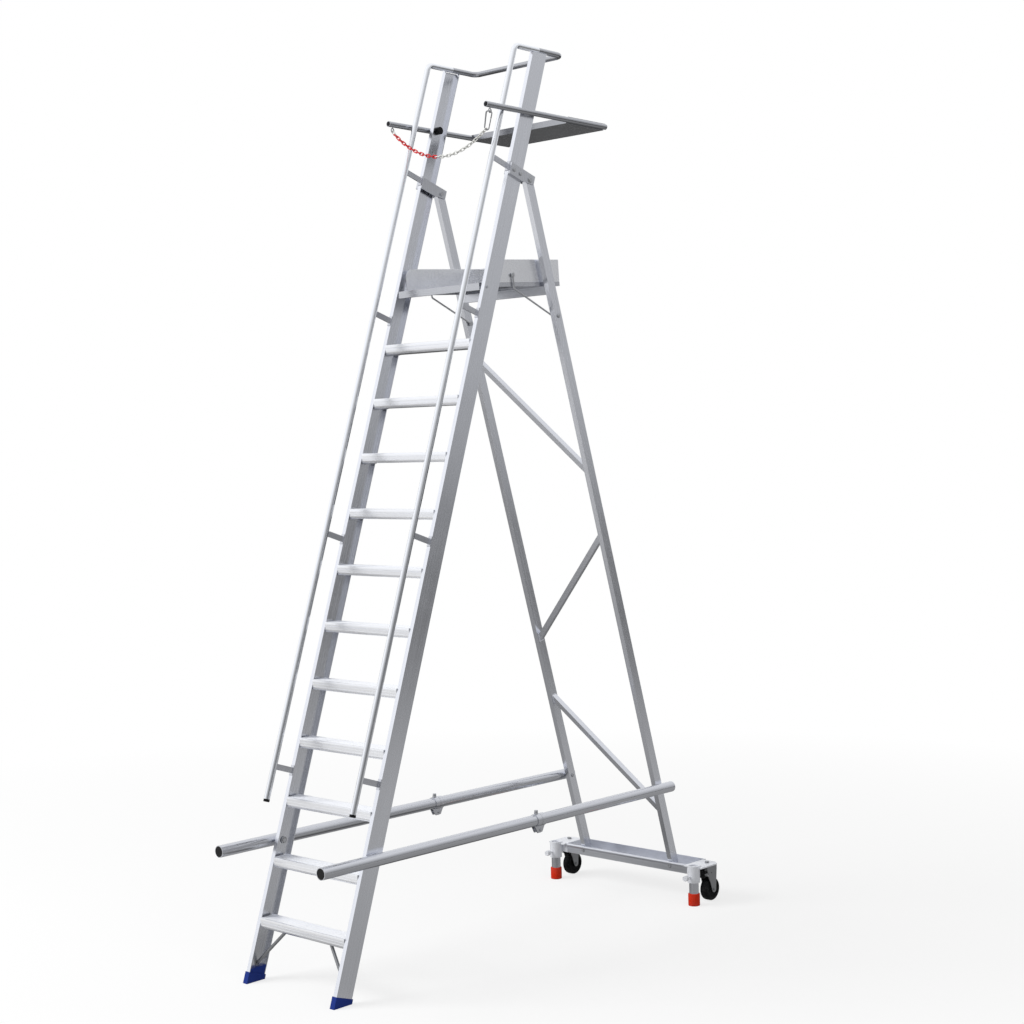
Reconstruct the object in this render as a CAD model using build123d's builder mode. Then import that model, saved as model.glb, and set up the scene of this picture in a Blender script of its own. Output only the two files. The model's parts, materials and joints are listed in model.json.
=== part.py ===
"""Mobile platform stepladder with a folding rear frame.

Millimetres, +Z up, +Y from the climbing side to the rear, X = 0 on the middle plane.
The origin is on the floor, at the middle of the overall length and width.
Lengths called y below are measured from the front edge of the stiles at floor level.
"""
from build123d import *
import os
from math import asinh, cos, cosh, hypot, radians, sin, sinh, tan

os.makedirs("parts", exist_ok=True)

# Climbing frame
tread_count = 11
tread_rise = 240.0
first_tread_height = 260.0
tread_height = 43.0
tread_setback = 7.0
tread_wall = 2.2
tread_rib_width = 3.0
tread_rib_height = 1.4
tread_rib_pitch = 8.0
stile_lean = 18.16
stile_spread = 558.0
stile_depth = 85.0
stile_flange = 20.0
stile_wall = 3.0
stile_sole_gap = 6.0
foot_wall = 3.0
foot_height = 34.0
foot_plug_height = 58.0
bracket_thickness = 3.0
bracket_reach = 28.0
bracket_width = 44.0
brace_rod_radius = 7.0
brace_rod_inset = 140.0
brace_rod_height = 72.0
brace_pad = 20.0
brace_pad_thickness = 4.0

# Rails
rail_radius = 12.5
rail_wall = 2.0
rail_bend = 30.0
handrail_half = 266.0
handrail_gap = 104.5
handrail_low = 739.0
handrail_bracket_heights = (845.0, 1809.0, 2768.0, 3412.0)
handrail_bracket_height = 25.0
handrail_bracket_thickness = 6.0
handrail_foot_height = 44.0
handrail_foot_thickness = 3.0
guard_height = 1042.0
top_rail_reach = 159.4
mid_rail_half = 300.0
mid_rail_drop = 289.0
mid_rail_ahead = 289.0
mid_rail_behind = 509.0
cap_wall = 1.2
cap_end = 3.0
cap_recess = 0.6
cap_length = 20.0
knob_radius = 17.0
knob_length = 19.0
knob_stud_radius = 4.0
knob_round = 1.2
tray_length = 262.0
tray_overhang = 2.0
tray_sheet = 2.0
tray_drop = 28.0
tray_lip = 16.0

# Safety chain
chain_behind_cap = 5.0
chain_wire = 2.4
chain_pitch = 21.3
chain_width = 11.4
chain_red_from = 1
chain_red_to = 15
snap_reach = 24.0
chain_slack = 0.8
chain_shape = 380.0
chain_low_x = 27.0
eye_radius = 8.0
eye_wire = 2.5
eye_stem = 5.0
snap_wire = 2.5
snap_slack = 0.5
snap_radius = 11.0
snap_gate_radius = 2.2
snap_gate_length = 36.0
snap_gate_drop = 14.0
snap_gate_round = 2.0

# Rear frame
hinge_rise = 462.0
hinge_setback = 86.0
hinge_pin_radius = 6.0
hinge_plate = 4.0
hinge_plate_height = 52.0
hinge_plate_overhang = 28.0
hinge_plate_taper = 13.0
hinge_bolt_pitch = 42.0
leg_lean = 16.8
leg_spread = 572.0
leg_width = 25.0
leg_depth = 45.0
leg_wall = 2.5
brace_size = 26.0
brace_wall = 2.0
brace_heights = ((2604.0, 2087.0), (1269.0, 1779.0), (959.0, 450.0))
cross_tube_depth = 25.0
cross_tube_height = 38.0
beam_bottom = 137.0
beam_height = 47.0
beam_depth = 146.0
beam_wall = 3.0
bolt_head_radius = 7.0
bolt_head_height = 5.0
bolt_radius = 4.0

# Rear feet and castors
track_half = 435.0
foot_ahead = 23.7
foot_tube_radius = 22.5
foot_tube_wall = 3.0
foot_tube_top = 186.0
foot_travel = 40.0
foot_engagement = 35.0
tip_radius = 28.0
tip_height = 58.0
tip_sole = 8.0
tip_round = 3.0
sleeve_radius = 30.0
sleeve_top = 190.0
end_plate = 4.0
end_top_plate = 6.0
end_margin = 45.0
end_corner = 40.0
end_arm = 57.0
lock_screw_height = 140.0
lock_screw_radius = 5.0
lock_knob_radius = 13.0
lock_knob_length = 20.0
lock_screw_length = 72.0
lock_flute_count = 6
lock_flute_radius = 3.0
lock_flute_depth = 1.5
castor_setback = 107.0
castor_trail = 20.0
wheel_radius = 55.0
wheel_width = 42.0
wheel_rise = 1.5
wheel_round = 8.0
wheel_recess_radius = 38.0
wheel_recess_depth = 7.0
wheel_hub_radius = 16.0
fork_plate = 4.0
fork_gap = 2.0
fork_head_radius = 24.0
fork_head_height = 18.0
fork_cheek_front = 34.0
fork_cheek_rear = 42.0
fork_eye_radius = 15.0
axle_radius = 6.0
pedal_front = 42.0
pedal_rear = 48.0
pedal_width = 28.0
pedal_thickness = 5.0
pedal_lip = 18.0
pedal_drop = 20.0
pedal_height = 140.0
pedal_pin_radius = 3.0

# Platform
deck_tilt = 3.8
deck_length = 527.0
deck_side_gap = 11.0
deck_thickness = 18.0
deck_skin = 3.0
deck_rib_pitch = 16.0
deck_groove_width = 4.0
deck_groove_depth = 1.5
nose_depth = 30.0
nose_height = 30.0
pivot_inset = 15.0
pivot_below_deck = 20.0
pivot_radius = 6.0
toe_height = 100.0
toe_sheet = 3.0
toe_start = 36.0
toe_corner = 40.0
stay_radius = 4.0
stay_eye_radius = 10.0
stay_eye_thickness = 6.0
stay_hook_back = 196.0
stay_hook_up = 52.0
stay_bend_back = 8.0
stay_bend_down = 60.0
stay_bend_radius = 14.0
stay_drop = 123.0

# Spreader bars
bar_radius = 25.0
bar_wall = 2.5
bar_half = 315.0
bar_height = 557.0
bar_reach = 84.0
bar_tail = 55.0
bar_cap_wall = 1.5
bar_cap_end = 4.0
bar_cap_recess = 1.0
bar_cap_length = 30.0
bar_pin_radius = 6.0
bar_boss_radius = 14.0
bar_nut_radius = 10.0
bar_nut_height = 7.0
knee_gap = 1.0
knee_pin_radius = 5.0
knee_eye_radius = 12.0
knee_lug_length = 36.0
knee_collar_wall = 3.0
knee_collar_length = 28.0
knee_cheek = 5.0
knee_tongue = 13.0
latch_radius = 5.0
latch_knob_radius = 8.0
latch_knob_height = 9.0
latch_guide = 2.0
latch_boss_radius = 9.0
latch_back = 14.0
latch_travel = 8.0

# Clearances
running_fit = 0.05
side_gap = 0.3
weld_gap = 0.1

# Sizes worked out from the ones above
lean_c = cos(radians(stile_lean))
lean_s = sin(radians(stile_lean))
leg_c = cos(radians(leg_lean))
leg_s = sin(radians(leg_lean))
tilt_c = cos(radians(deck_tilt))
tilt_s = sin(radians(deck_tilt))

platform_height = first_tread_height + tread_count * tread_rise
top_rail_height = platform_height + guard_height
mid_rail_height = top_rail_height - mid_rail_drop
hinge_height = platform_height + hinge_rise
stay_leg_height = platform_height - stay_drop

stile_half = stile_spread / 2
web_inner = stile_half - stile_wall
flange_edge = stile_half - stile_flange
stile_foot_y = stile_depth / 2 / lean_c
stile_top = top_rail_height - rail_radius
stile_low = (stile_sole_gap + stile_depth / 2 * lean_s) / lean_c
tread_half = flange_edge - side_gap
deck_half = flange_edge - deck_side_gap
tread_depth = stile_depth / lean_c - tread_setback
rail_bore = rail_radius - rail_wall
handrail_v = -stile_depth / 2 - handrail_gap

leg_outer = leg_spread / 2
leg_inner = leg_outer - leg_width
hinge_u = (hinge_height + hinge_setback * lean_s) / lean_c
hinge_y = stile_foot_y + hinge_setback * lean_c + hinge_u * lean_s
bar_inner = bar_half - bar_radius
sleeve_bottom = foot_tube_top - foot_travel - foot_engagement
latch_boss_height = latch_travel + latch_guide


def stile_front_y(z):
    """The stiles' front face at height z."""
    return z * tan(radians(stile_lean))


def stile_y(z):
    """The stiles' middle line at height z."""
    return stile_front_y(z) + stile_foot_y


def leg_y(z):
    """The rear legs' middle line at height z."""
    return hinge_y + (hinge_height - z) * tan(radians(leg_lean))


def handrail_y(z):
    """The handrails' middle line at height z."""
    return stile_front_y(z) - handrail_gap / lean_c


# Places along y that follow the stiles and legs
rail_joint_y = stile_y(stile_top)
top_rail_rear = rail_joint_y + top_rail_reach
knob_y = stile_y(mid_rail_height)
mid_rail_front = knob_y - mid_rail_ahead
mid_rail_rear = knob_y + mid_rail_behind
tray_rear = mid_rail_rear + tray_overhang
tray_front = tray_rear - tray_length
leg_half_depth = leg_depth / 2
beam_top = beam_bottom + beam_height
beam_front = leg_y(beam_top) - leg_half_depth / leg_c - side_gap - beam_wall
beam_rear = beam_front + beam_depth
beam_half = track_half - end_arm
end_reach = track_half + end_margin
foot_y = beam_front - foot_ahead
castor_y = foot_y + castor_setback
lock_screw_reach = foot_y - lock_screw_length
origin_y = (castor_y + castor_trail + wheel_radius - bar_reach) / 2


# Working planes, whose own coordinates are given in brackets


def side(x):
    """Upright plane across X (y, z)."""
    return Plane(origin=(x, -origin_y, 0), x_dir=(0, 1, 0), z_dir=(1, 0, 0))


def level(z):
    """Level plane (x, y)."""
    return Plane(origin=(0, -origin_y, z))


def facing(y):
    """Upright plane that faces the front (x, z)."""
    return Plane(origin=(0, y - origin_y, 0), x_dir=(1, 0, 0), z_dir=(0, -1, 0))


def along_stile(x):
    """Side plane that leans with the stile (rearward, up from its foot)."""
    return Plane(origin=(x, stile_foot_y - origin_y, 0), x_dir=(0, lean_c, -lean_s), z_dir=(1, 0, 0))


def across_stile(u):
    """Plane square to the stile, u up from its foot (x, rearward)."""
    point = (0, stile_foot_y + u * lean_s - origin_y, u * lean_c)
    return Plane(origin=point, x_dir=(1, 0, 0), z_dir=(0, lean_s, lean_c))


def along_leg(x):
    """Side plane that leans with the rear leg (rearward, up from the hinge)."""
    return Plane(origin=(x, hinge_y - origin_y, hinge_height), x_dir=(0, leg_c, leg_s), z_dir=(1, 0, 0))


def on_deck(x):
    """Side plane that tilts with the deck, from the platform pivot (rearward, up)."""
    return Plane(origin=(x, pivot_y - origin_y, pivot_z), x_dir=(0, tilt_c, tilt_s), z_dir=(1, 0, 0))


def prism(plane, points, depth, mode=Mode.ADD):
    """A straight solid on a plane's outline."""
    with BuildSketch(plane) as outline:
        Polygon(*points, align=None)
    extrude(outline.sketch, amount=depth, mode=mode)


def block(plane, first, second, depth, mode=Mode.ADD):
    """A straight solid on the rectangle between two corners."""
    (a, b), (c, d) = first, second
    prism(plane, ((a, b), (c, b), (c, d), (a, d)), depth, mode)


def rod(plane, centre, radius, depth, mode=Mode.ADD):
    """A round solid that starts on a plane."""
    with BuildSketch(plane) as section:
        with Locations(centre):
            Circle(radius)
    extrude(section.sketch, amount=depth, mode=mode)


def tube_along(path, radius, bore):
    """A round tube swept along a line."""
    with BuildSketch(Plane(origin=path @ 0, z_dir=path % 0)) as section:
        Circle(radius)
        Circle(bore, mode=Mode.SUBTRACT)
    sweep(section.sketch, path=path)


def save(piece, name):
    piece.part.label = name
    export_step(piece.part, f"parts/{name}.step")


def save_pair(right, name):
    """Write a right-hand piece and its mirror image."""
    save(right, f"{name}_right")
    with BuildPart() as left:
        mirror(right.part, about=Plane.YZ)
    save(left, f"{name}_left")


# Spreader bar linkage, which folds flat between stile and leg
bar_front_y = stile_y(bar_height)
bar_rear_y = leg_y(bar_height)
bar_front_u = bar_height / lean_c
bar_rear_u = hinge_u - (hinge_height - bar_height) / leg_c
bar_front_half = (bar_rear_y - bar_front_y + bar_rear_u - bar_front_u) / 2
knee_drop = hinge_setback / 2
knee_y = bar_front_y + bar_front_half
knee_z = bar_height - knee_drop

# Platform pivot and the cross tube that carries the deck
pivot_z = platform_height - pivot_below_deck
pivot_y = stile_front_y(pivot_z) + pivot_inset / lean_c
deck_top = pivot_below_deck
deck_under = deck_top - deck_thickness
deck_front = -pivot_inset
deck_rear = deck_front + deck_length
cross_top = deck_under - side_gap
cross_q = cross_top - cross_tube_height / 2
cross_fall = (hinge_height - pivot_z - cross_q * tilt_c) * leg_s / leg_c
cross_p = (hinge_y - pivot_y + cross_q * tilt_s + cross_fall) / (tilt_c + tilt_s * leg_s / leg_c)


# Stiles: channels with their open side inwards
channel = (
    (stile_half, -stile_depth / 2),
    (stile_half, stile_depth / 2),
    (flange_edge, stile_depth / 2),
    (flange_edge, stile_depth / 2 - stile_wall),
    (web_inner, stile_depth / 2 - stile_wall),
    (web_inner, -stile_depth / 2 + stile_wall),
    (flange_edge, -stile_depth / 2 + stile_wall),
    (flange_edge, -stile_depth / 2),
)
stile_length = (stile_top + stile_depth) / lean_c - stile_low

with BuildPart() as stile:
    prism(across_stile(stile_low), channel, stile_length)
    split(bisect_by=Plane.XY.offset(stile_top), keep=Keep.BOTTOM)
    for centre, radius in (
        ((bar_front_y, bar_height), bar_pin_radius),
        ((pivot_y, pivot_z), pivot_radius),
        ((knob_y, mid_rail_height), knob_stud_radius),
    ):
        rod(side(web_inner), centre, radius + running_fit, stile_wall, Mode.SUBTRACT)
save_pair(stile, "stile")

# Plastic feet: a low cup round each stile end, and a taller plug inside the channel
foot_v = stile_depth / 2 + foot_wall
foot_front = stile_foot_y - foot_v / lean_c
foot_rear = stile_foot_y + foot_v / lean_c
foot_top_y = stile_foot_y + foot_height * lean_s
foot_top_z = foot_height * lean_c
foot_top_front = (foot_top_y - foot_v * lean_c, foot_top_z + foot_v * lean_s)
foot_top_rear = (foot_top_y + foot_v * lean_c, foot_top_z - foot_v * lean_s)
with BuildPart() as stile_feet:
    foot_outline = ((foot_front, 0), (foot_rear, 0), foot_top_rear, foot_top_front)
    prism(side(flange_edge - foot_wall), foot_outline, stile_flange + 2 * foot_wall)
    prism(across_stile(stile_low), channel, stile_length, Mode.SUBTRACT)
    plug_half = (stile_depth / 2 - stile_wall - weld_gap) / lean_c
    plug_base = stile_low * lean_c
    plug_outline = (
        (stile_y(plug_base) - plug_half, plug_base),
        (stile_y(plug_base) + plug_half, plug_base),
        (stile_y(foot_plug_height) + plug_half, foot_plug_height),
        (stile_y(foot_plug_height) - plug_half, foot_plug_height),
    )
    prism(side(flange_edge), plug_outline, stile_flange - stile_wall - weld_gap)
    mirror(about=Plane.YZ)
save(stile_feet, "stile_feet")


# Treads: ribbed two-cell box sections between the stiles
def tread_base(number):
    """Front and underside of a tread."""
    top = first_tread_height + (number - 1) * tread_rise
    return stile_front_y(top - tread_height / 2), top - tread_height


rib_count = int((tread_depth - 2 * tread_wall) // tread_rib_pitch)
cell_width = (tread_depth - 3 * tread_wall) / 2
cell_height = tread_height - tread_rib_height - 2 * tread_wall
for number in range(1, tread_count + 1):
    tread_y, tread_z = tread_base(number)
    with BuildPart() as tread:
        with BuildSketch(side(-tread_half)) as tread_section:
            with Locations((tread_y + tread_depth / 2, tread_z + (tread_height - tread_rib_height) / 2)):
                Rectangle(tread_depth, tread_height - tread_rib_height)
                with GridLocations(cell_width + tread_wall, 0, 2, 1):
                    Rectangle(cell_width, cell_height, mode=Mode.SUBTRACT)
            with Locations((tread_y + tread_depth / 2, tread_z + tread_height - tread_rib_height)):
                with GridLocations(tread_rib_pitch, 0, rib_count, 1):
                    Rectangle(tread_rib_width, 2 * tread_rib_height)
        extrude(tread_section.sketch, amount=2 * tread_half)
    save(tread, f"tread_{number:02d}")

# Angle brackets that carry each tread end on the stile web
with BuildPart() as tread_brackets:
    for number in range(1, tread_count + 1):
        tread_y, tread_z = tread_base(number)
        near = tread_y + (tread_depth - bracket_width) / 2
        far = near + bracket_width
        shelf = tread_z - bracket_thickness
        inner = tread_half - bracket_reach
        block(side(inner), (near, shelf), (far, tread_z), web_inner - inner)
        upright = web_inner - bracket_thickness
        block(side(upright), (near, shelf), (far, tread_z + tread_height / 2), bracket_thickness)
    mirror(about=Plane.YZ)
save(tread_brackets, "tread_brackets")

# Round knee braces from the first tread down to the stiles
brace_z = tread_base(1)[1]
low_y = stile_y(brace_rod_height)
brace_low = Vector(web_inner - brace_pad_thickness, low_y - origin_y, brace_rod_height)
brace_high_x = stile_half - brace_rod_inset
brace_high_y = stile_y(brace_z - brace_pad_thickness)
brace_high = Vector(brace_high_x, brace_high_y - origin_y, brace_z - brace_pad_thickness)
brace_run = brace_high - brace_low
with BuildPart() as knee_braces:
    rod(Plane(origin=brace_low, z_dir=brace_run), (0, 0), brace_rod_radius, brace_run.length)
    pad = brace_pad / 2
    low_first = (low_y - pad, brace_rod_height - pad)
    block(side(brace_low.X), low_first, (low_y + pad, brace_rod_height + pad), brace_pad_thickness)
    high_first = (brace_high_x - pad, brace_high_y - pad)
    block(level(brace_high.Z), high_first, (brace_high_x + pad, brace_high_y + pad), brace_pad_thickness)
    mirror(about=Plane.YZ)
save(knee_braces, "knee_braces")

# Handrails: round tubes that bend over the stile tops
with BuildPart() as handrail:
    with BuildLine(side(handrail_half)) as handrail_path:
        FilletPolyline(
            (handrail_y(handrail_low), handrail_low),
            (handrail_y(top_rail_height), top_rail_height),
            (rail_joint_y, top_rail_height),
            radius=rail_bend,
        )
    tube_along(handrail_path.line, rail_radius, rail_bore)
save_pair(handrail, "handrail")

# Flat arms that hold the handrails off the stiles
with BuildPart() as handrail_brackets:
    for height in handrail_bracket_heights:
        arm_u = (height - stile_depth / 2 * lean_s) / lean_c
        half = handrail_bracket_height / 2
        arm_first = (handrail_v, arm_u - half)
        arm_x = handrail_half - handrail_bracket_thickness / 2
        block(along_stile(arm_x), arm_first, (-stile_depth / 2, arm_u + half), handrail_bracket_thickness)
        half = handrail_foot_height / 2
        foot_first = (-stile_depth / 2 - handrail_foot_thickness, arm_u - half)
        block(along_stile(flange_edge), foot_first, (-stile_depth / 2, arm_u + half), stile_flange)
    rail_hole = rail_radius + weld_gap
    rod(across_stile(0), (handrail_half, handrail_v), rail_hole, stile_length, Mode.SUBTRACT)
    mirror(about=Plane.YZ)
save(handrail_brackets, "handrail_brackets")

# Guard rail loop behind the stile tops
with BuildPart() as top_rail:
    with BuildLine(level(top_rail_height)) as top_rail_path:
        FilletPolyline(
            (handrail_half, rail_joint_y),
            (handrail_half, top_rail_rear),
            (-handrail_half, top_rail_rear),
            (-handrail_half, rail_joint_y),
            radius=rail_bend,
        )
    tube_along(top_rail_path.line, rail_radius, rail_bore)
save(top_rail, "top_rail")

# Waist rails, each with a welded spacer against the stile
with BuildPart() as mid_rails:
    rail_centre = (mid_rail_half, mid_rail_height)
    rail_run = mid_rail_front - mid_rail_rear
    spacer = mid_rail_half - stile_half
    rod(facing(mid_rail_front), rail_centre, rail_radius, rail_run)
    rod(side(stile_half), (knob_y, mid_rail_height), rail_radius - weld_gap, spacer)
    rod(facing(mid_rail_front), rail_centre, rail_bore, rail_run, Mode.SUBTRACT)
    stud_hole = knob_stud_radius + running_fit
    rod(side(stile_half), (knob_y, mid_rail_height), stud_hole, spacer, Mode.SUBTRACT)
    mirror(about=Plane.YZ)
save(mid_rails, "mid_rails")

# Hand knobs that clamp the waist rails
with BuildPart() as rail_knobs:
    rod(side(web_inner - knob_length), (knob_y, mid_rail_height), knob_radius, knob_length)
    fillet(rail_knobs.edges().group_by(Axis.X)[0], knob_round)
    stud_length = mid_rail_half - web_inner - side_gap
    rod(side(web_inner), (knob_y, mid_rail_height), knob_stud_radius, stud_length)
    mirror(about=Plane.YZ)
save(rail_knobs, "rail_knobs")

# Plugs in the open ends of the handrails and waist rails
cap_radius = rail_bore - weld_gap
cap_bore = cap_radius - cap_wall
cap_low_u = (handrail_low + handrail_v * lean_s) / lean_c + cap_recess
cap_front_y = mid_rail_front + cap_recess
with BuildPart() as rail_caps:
    handrail_centre = (handrail_half, handrail_v)
    rod(across_stile(cap_low_u), handrail_centre, cap_radius, cap_length)
    rod(across_stile(cap_low_u + cap_end), handrail_centre, cap_bore, cap_length, Mode.SUBTRACT)
    rod(facing(cap_front_y), rail_centre, cap_radius, -cap_length)
    rod(facing(cap_front_y + cap_end), rail_centre, cap_bore, -cap_length, Mode.SUBTRACT)
    mirror(about=Plane.YZ)
save(rail_caps, "rail_caps")

# Tool tray that hangs by its lips on the waist rails
tray_half = mid_rail_half - rail_radius - side_gap
tray_top = mid_rail_height + rail_radius + side_gap + tray_sheet
tray_bottom = tray_top - tray_drop
with BuildPart() as tool_tray:
    block(level(tray_bottom), (-tray_half, tray_front), (tray_half, tray_rear), tray_drop)
    inner_half = tray_half - tray_sheet
    inner_first = (-inner_half, tray_front + tray_sheet)
    inner_last = (inner_half, tray_rear - tray_sheet)
    block(level(tray_bottom + tray_sheet), inner_first, inner_last, tray_drop, Mode.SUBTRACT)
    for sign in (-1, 1):
        lip_first = (sign * inner_half, tray_front)
        lip_far = (sign * (inner_half + tray_lip), mid_rail_rear)
        block(level(tray_top - tray_sheet), lip_first, lip_far, tray_sheet)
save(tool_tray, "tool_tray")

# Eyes under the waist rails that hold the safety chain
chain_y = mid_rail_front + cap_length + chain_behind_cap
eye_z = mid_rail_height - rail_radius - eye_stem - eye_radius
with BuildPart() as chain_eyes:
    with BuildSketch(level(eye_z)) as eye_section:
        with Locations((mid_rail_half, chain_y + eye_radius)):
            Circle(eye_wire)
    revolve(eye_section.sketch, axis=Axis((mid_rail_half, chain_y - origin_y, eye_z), (1, 0, 0)))
    rod(level(eye_z + eye_radius), (mid_rail_half, chain_y), eye_wire, eye_stem + rail_wall)
    rod(facing(mid_rail_front), rail_centre, rail_radius + weld_gap, rail_run, Mode.SUBTRACT)
    mirror(about=Plane.YZ)
save(chain_eyes, "chain_eyes")

# Safety chain: links along a hanging curve from the left eye
eye_low_z = eye_z - eye_radius
chain_start_slope = sinh((-mid_rail_half - chain_low_x) / chain_shape)
chain_start_back = (eye_wire + chain_slack / 2) / hypot(1, chain_start_slope)
chain_start_x = -mid_rail_half - chain_start_back
chain_start_z = eye_low_z - chain_start_back * chain_start_slope
chain_low_z = chain_start_z - chain_shape * (cosh((chain_start_x - chain_low_x) / chain_shape) - 1)
chain_start_s = chain_shape * sinh((chain_start_x - chain_low_x) / chain_shape)
chain_end_s = chain_shape * sinh((mid_rail_half - snap_reach - chain_low_x) / chain_shape)
chain_links = round((chain_end_s - chain_start_s) / chain_pitch)


def chain_point(number):
    """The joint before a link, on the hanging curve."""
    along = asinh((chain_start_s + number * chain_pitch) / chain_shape)
    x = chain_low_x + chain_shape * along
    return Vector(x, chain_y - origin_y, chain_low_z + chain_shape * (cosh(along) - 1))


def link_plane(number):
    """Place of a link: every other link is turned a quarter round."""
    start = chain_point(number)
    end = chain_point(number + 1)
    flat = Vector(0, 1, 0)
    upright = flat.cross(end - start)
    facing_up = upright if number % 2 else flat
    return Plane(origin=(start + end) / 2, x_dir=end - start, z_dir=facing_up)


def loop_path(plane, reach, bow):
    """A closed loop with round ends, from the middle of one long side."""
    with BuildLine(plane) as loop:
        Line((0, bow), (reach - bow, bow))
        ThreePointArc((reach - bow, bow), (reach, 0), (reach - bow, -bow))
        Line((reach - bow, -bow), (bow - reach, -bow))
        ThreePointArc((bow - reach, -bow), (-reach, 0), (bow - reach, bow))
        Line((bow - reach, bow), (0, bow))
    return loop.wire()


with BuildPart() as link:
    link_reach = chain_pitch / 2 + chain_wire + chain_slack / 2
    link_path = loop_path(Plane.XY, link_reach, chain_width / 2)
    with BuildSketch(Plane(origin=link_path @ 0, z_dir=link_path % 0)) as link_section:
        Circle(chain_wire)
    sweep(link_section.sketch, path=link_path)

red_links = range(chain_red_from, chain_red_to)
white_links = [number for number in range(chain_links) if number not in red_links]
with BuildPart() as chain_red:
    with Locations(*[link_plane(number).location for number in red_links]):
        add(link.part)
save(chain_red, "chain_red")
with BuildPart() as chain_white:
    with Locations(*[link_plane(number).location for number in white_links]):
        add(link.part)
save(chain_white, "chain_white")

# Snap hook between the chain's free end and the right eye
chain_end = chain_point(chain_links)
chain_end_dir = (chain_end - chain_point(chain_links - 1)).normalized()
snap_low = chain_end - chain_end_dir * (snap_wire + snap_slack)
snap_rise = eye_wire + snap_wire + chain_slack
snap_high = Vector(mid_rail_half, chain_y - origin_y, eye_low_z + snap_rise)
snap_low_bow = snap_low + chain_end_dir * snap_radius
snap_high_bow = snap_high - Vector(0, 0, snap_radius)
snap_axis = (snap_high_bow - snap_low_bow).normalized()
bow_x = (snap_high_bow - snap_low_bow).length / 2
snap_half = bow_x + snap_radius
snap_plane = Plane(origin=(snap_low_bow + snap_high_bow) / 2, x_dir=snap_axis, z_dir=(0, -1, 0))
gate_low = -snap_half + snap_gate_drop
gate_high = gate_low + snap_gate_length
with BuildPart() as carabiner:
    with BuildLine(snap_plane) as snap_path:
        Line((gate_low, -snap_radius), (-bow_x, -snap_radius))
        ThreePointArc((-bow_x, -snap_radius), (-snap_half, 0), (-bow_x, snap_radius))
        Line((-bow_x, snap_radius), (bow_x, snap_radius))
        ThreePointArc((bow_x, snap_radius), (snap_half, 0), (bow_x, -snap_radius))
        Line((bow_x, -snap_radius), (gate_high, -snap_radius))
    snap_line = snap_path.line
    with BuildSketch(Plane(origin=snap_line @ 0, z_dir=snap_line % 0)) as snap_section:
        Circle(snap_wire)
    sweep(snap_section.sketch, path=snap_line)
save(carabiner, "carabiner")

gate_start = snap_plane.from_local_coords((gate_low + side_gap, -snap_radius, 0))
with BuildPart() as carabiner_gate:
    gate_length = snap_gate_length - 2 * side_gap
    rod(Plane(origin=gate_start, z_dir=snap_axis), (0, 0), snap_gate_radius, gate_length)
    fillet(carabiner_gate.edges().filter_by(GeomType.CIRCLE), snap_gate_round)
save(carabiner_gate, "carabiner_gate")

# Rear legs: box tubes with rounded tops, hinged between the bracket plates
leg_fall = (hinge_height - beam_bottom - beam_wall) / leg_c
stay_leg_y = leg_y(stay_leg_height)
with BuildPart() as rear_leg:
    with BuildSketch(along_leg(leg_inner)) as leg_outline:
        with Locations((0, -leg_fall / 2 - leg_depth / 2)):
            Rectangle(leg_depth, leg_fall + leg_depth)
        Circle(leg_half_depth)
    extrude(leg_outline.sketch, amount=leg_width)
    core = leg_half_depth - leg_wall
    core_width = leg_width - 2 * leg_wall
    core_first = (-core, -leg_fall - leg_depth)
    core_last = (core, -leg_half_depth)
    block(along_leg(leg_inner + leg_wall), core_first, core_last, core_width, Mode.SUBTRACT)
    split(bisect_by=Plane.XY.offset(beam_bottom + beam_wall), keep=Keep.TOP)
    rod(along_leg(leg_inner), (0, 0), hinge_pin_radius + running_fit, leg_width, Mode.SUBTRACT)
    stay_hole = bolt_radius + running_fit
    rod(side(leg_inner), (stay_leg_y, stay_leg_height), stay_hole, leg_width, Mode.SUBTRACT)
    boss_length = bar_inner - leg_outer - side_gap
    rod(side(leg_outer), (bar_rear_y, bar_height), bar_boss_radius, boss_length)
save_pair(rear_leg, "rear_leg")

# Hinge brackets: an outer plate on a pad and an inner plate, on each stile
plate_low = hinge_u - hinge_plate_height / 2
plate_high = hinge_u + hinge_plate_height / 2
plate_front = -stile_depth / 2
plate_rear = hinge_setback + hinge_plate_overhang
plate_outline = (
    (plate_front, plate_low),
    (stile_depth / 2, plate_low),
    (plate_rear, plate_low + hinge_plate_taper),
    (plate_rear, plate_high),
    (plate_front, plate_high),
)
outer_plate_x = leg_outer + side_gap
inner_plate_x = flange_edge - side_gap - hinge_plate
with BuildPart() as hinge_brackets:
    prism(along_stile(outer_plate_x), plate_outline, hinge_plate)
    pad_corner = (stile_depth / 2, plate_high)
    block(along_stile(stile_half), (plate_front, plate_low), pad_corner, outer_plate_x - stile_half)
    prism(along_stile(inner_plate_x), plate_outline, hinge_plate)
    hinge_hole_length = outer_plate_x + hinge_plate - inner_plate_x
    hinge_centre = (hinge_setback, hinge_u)
    hinge_hole = hinge_pin_radius + running_fit
    rod(along_stile(inner_plate_x), hinge_centre, hinge_hole, hinge_hole_length, Mode.SUBTRACT)
    mirror(about=Plane.YZ)
save(hinge_brackets, "hinge_brackets")

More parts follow.
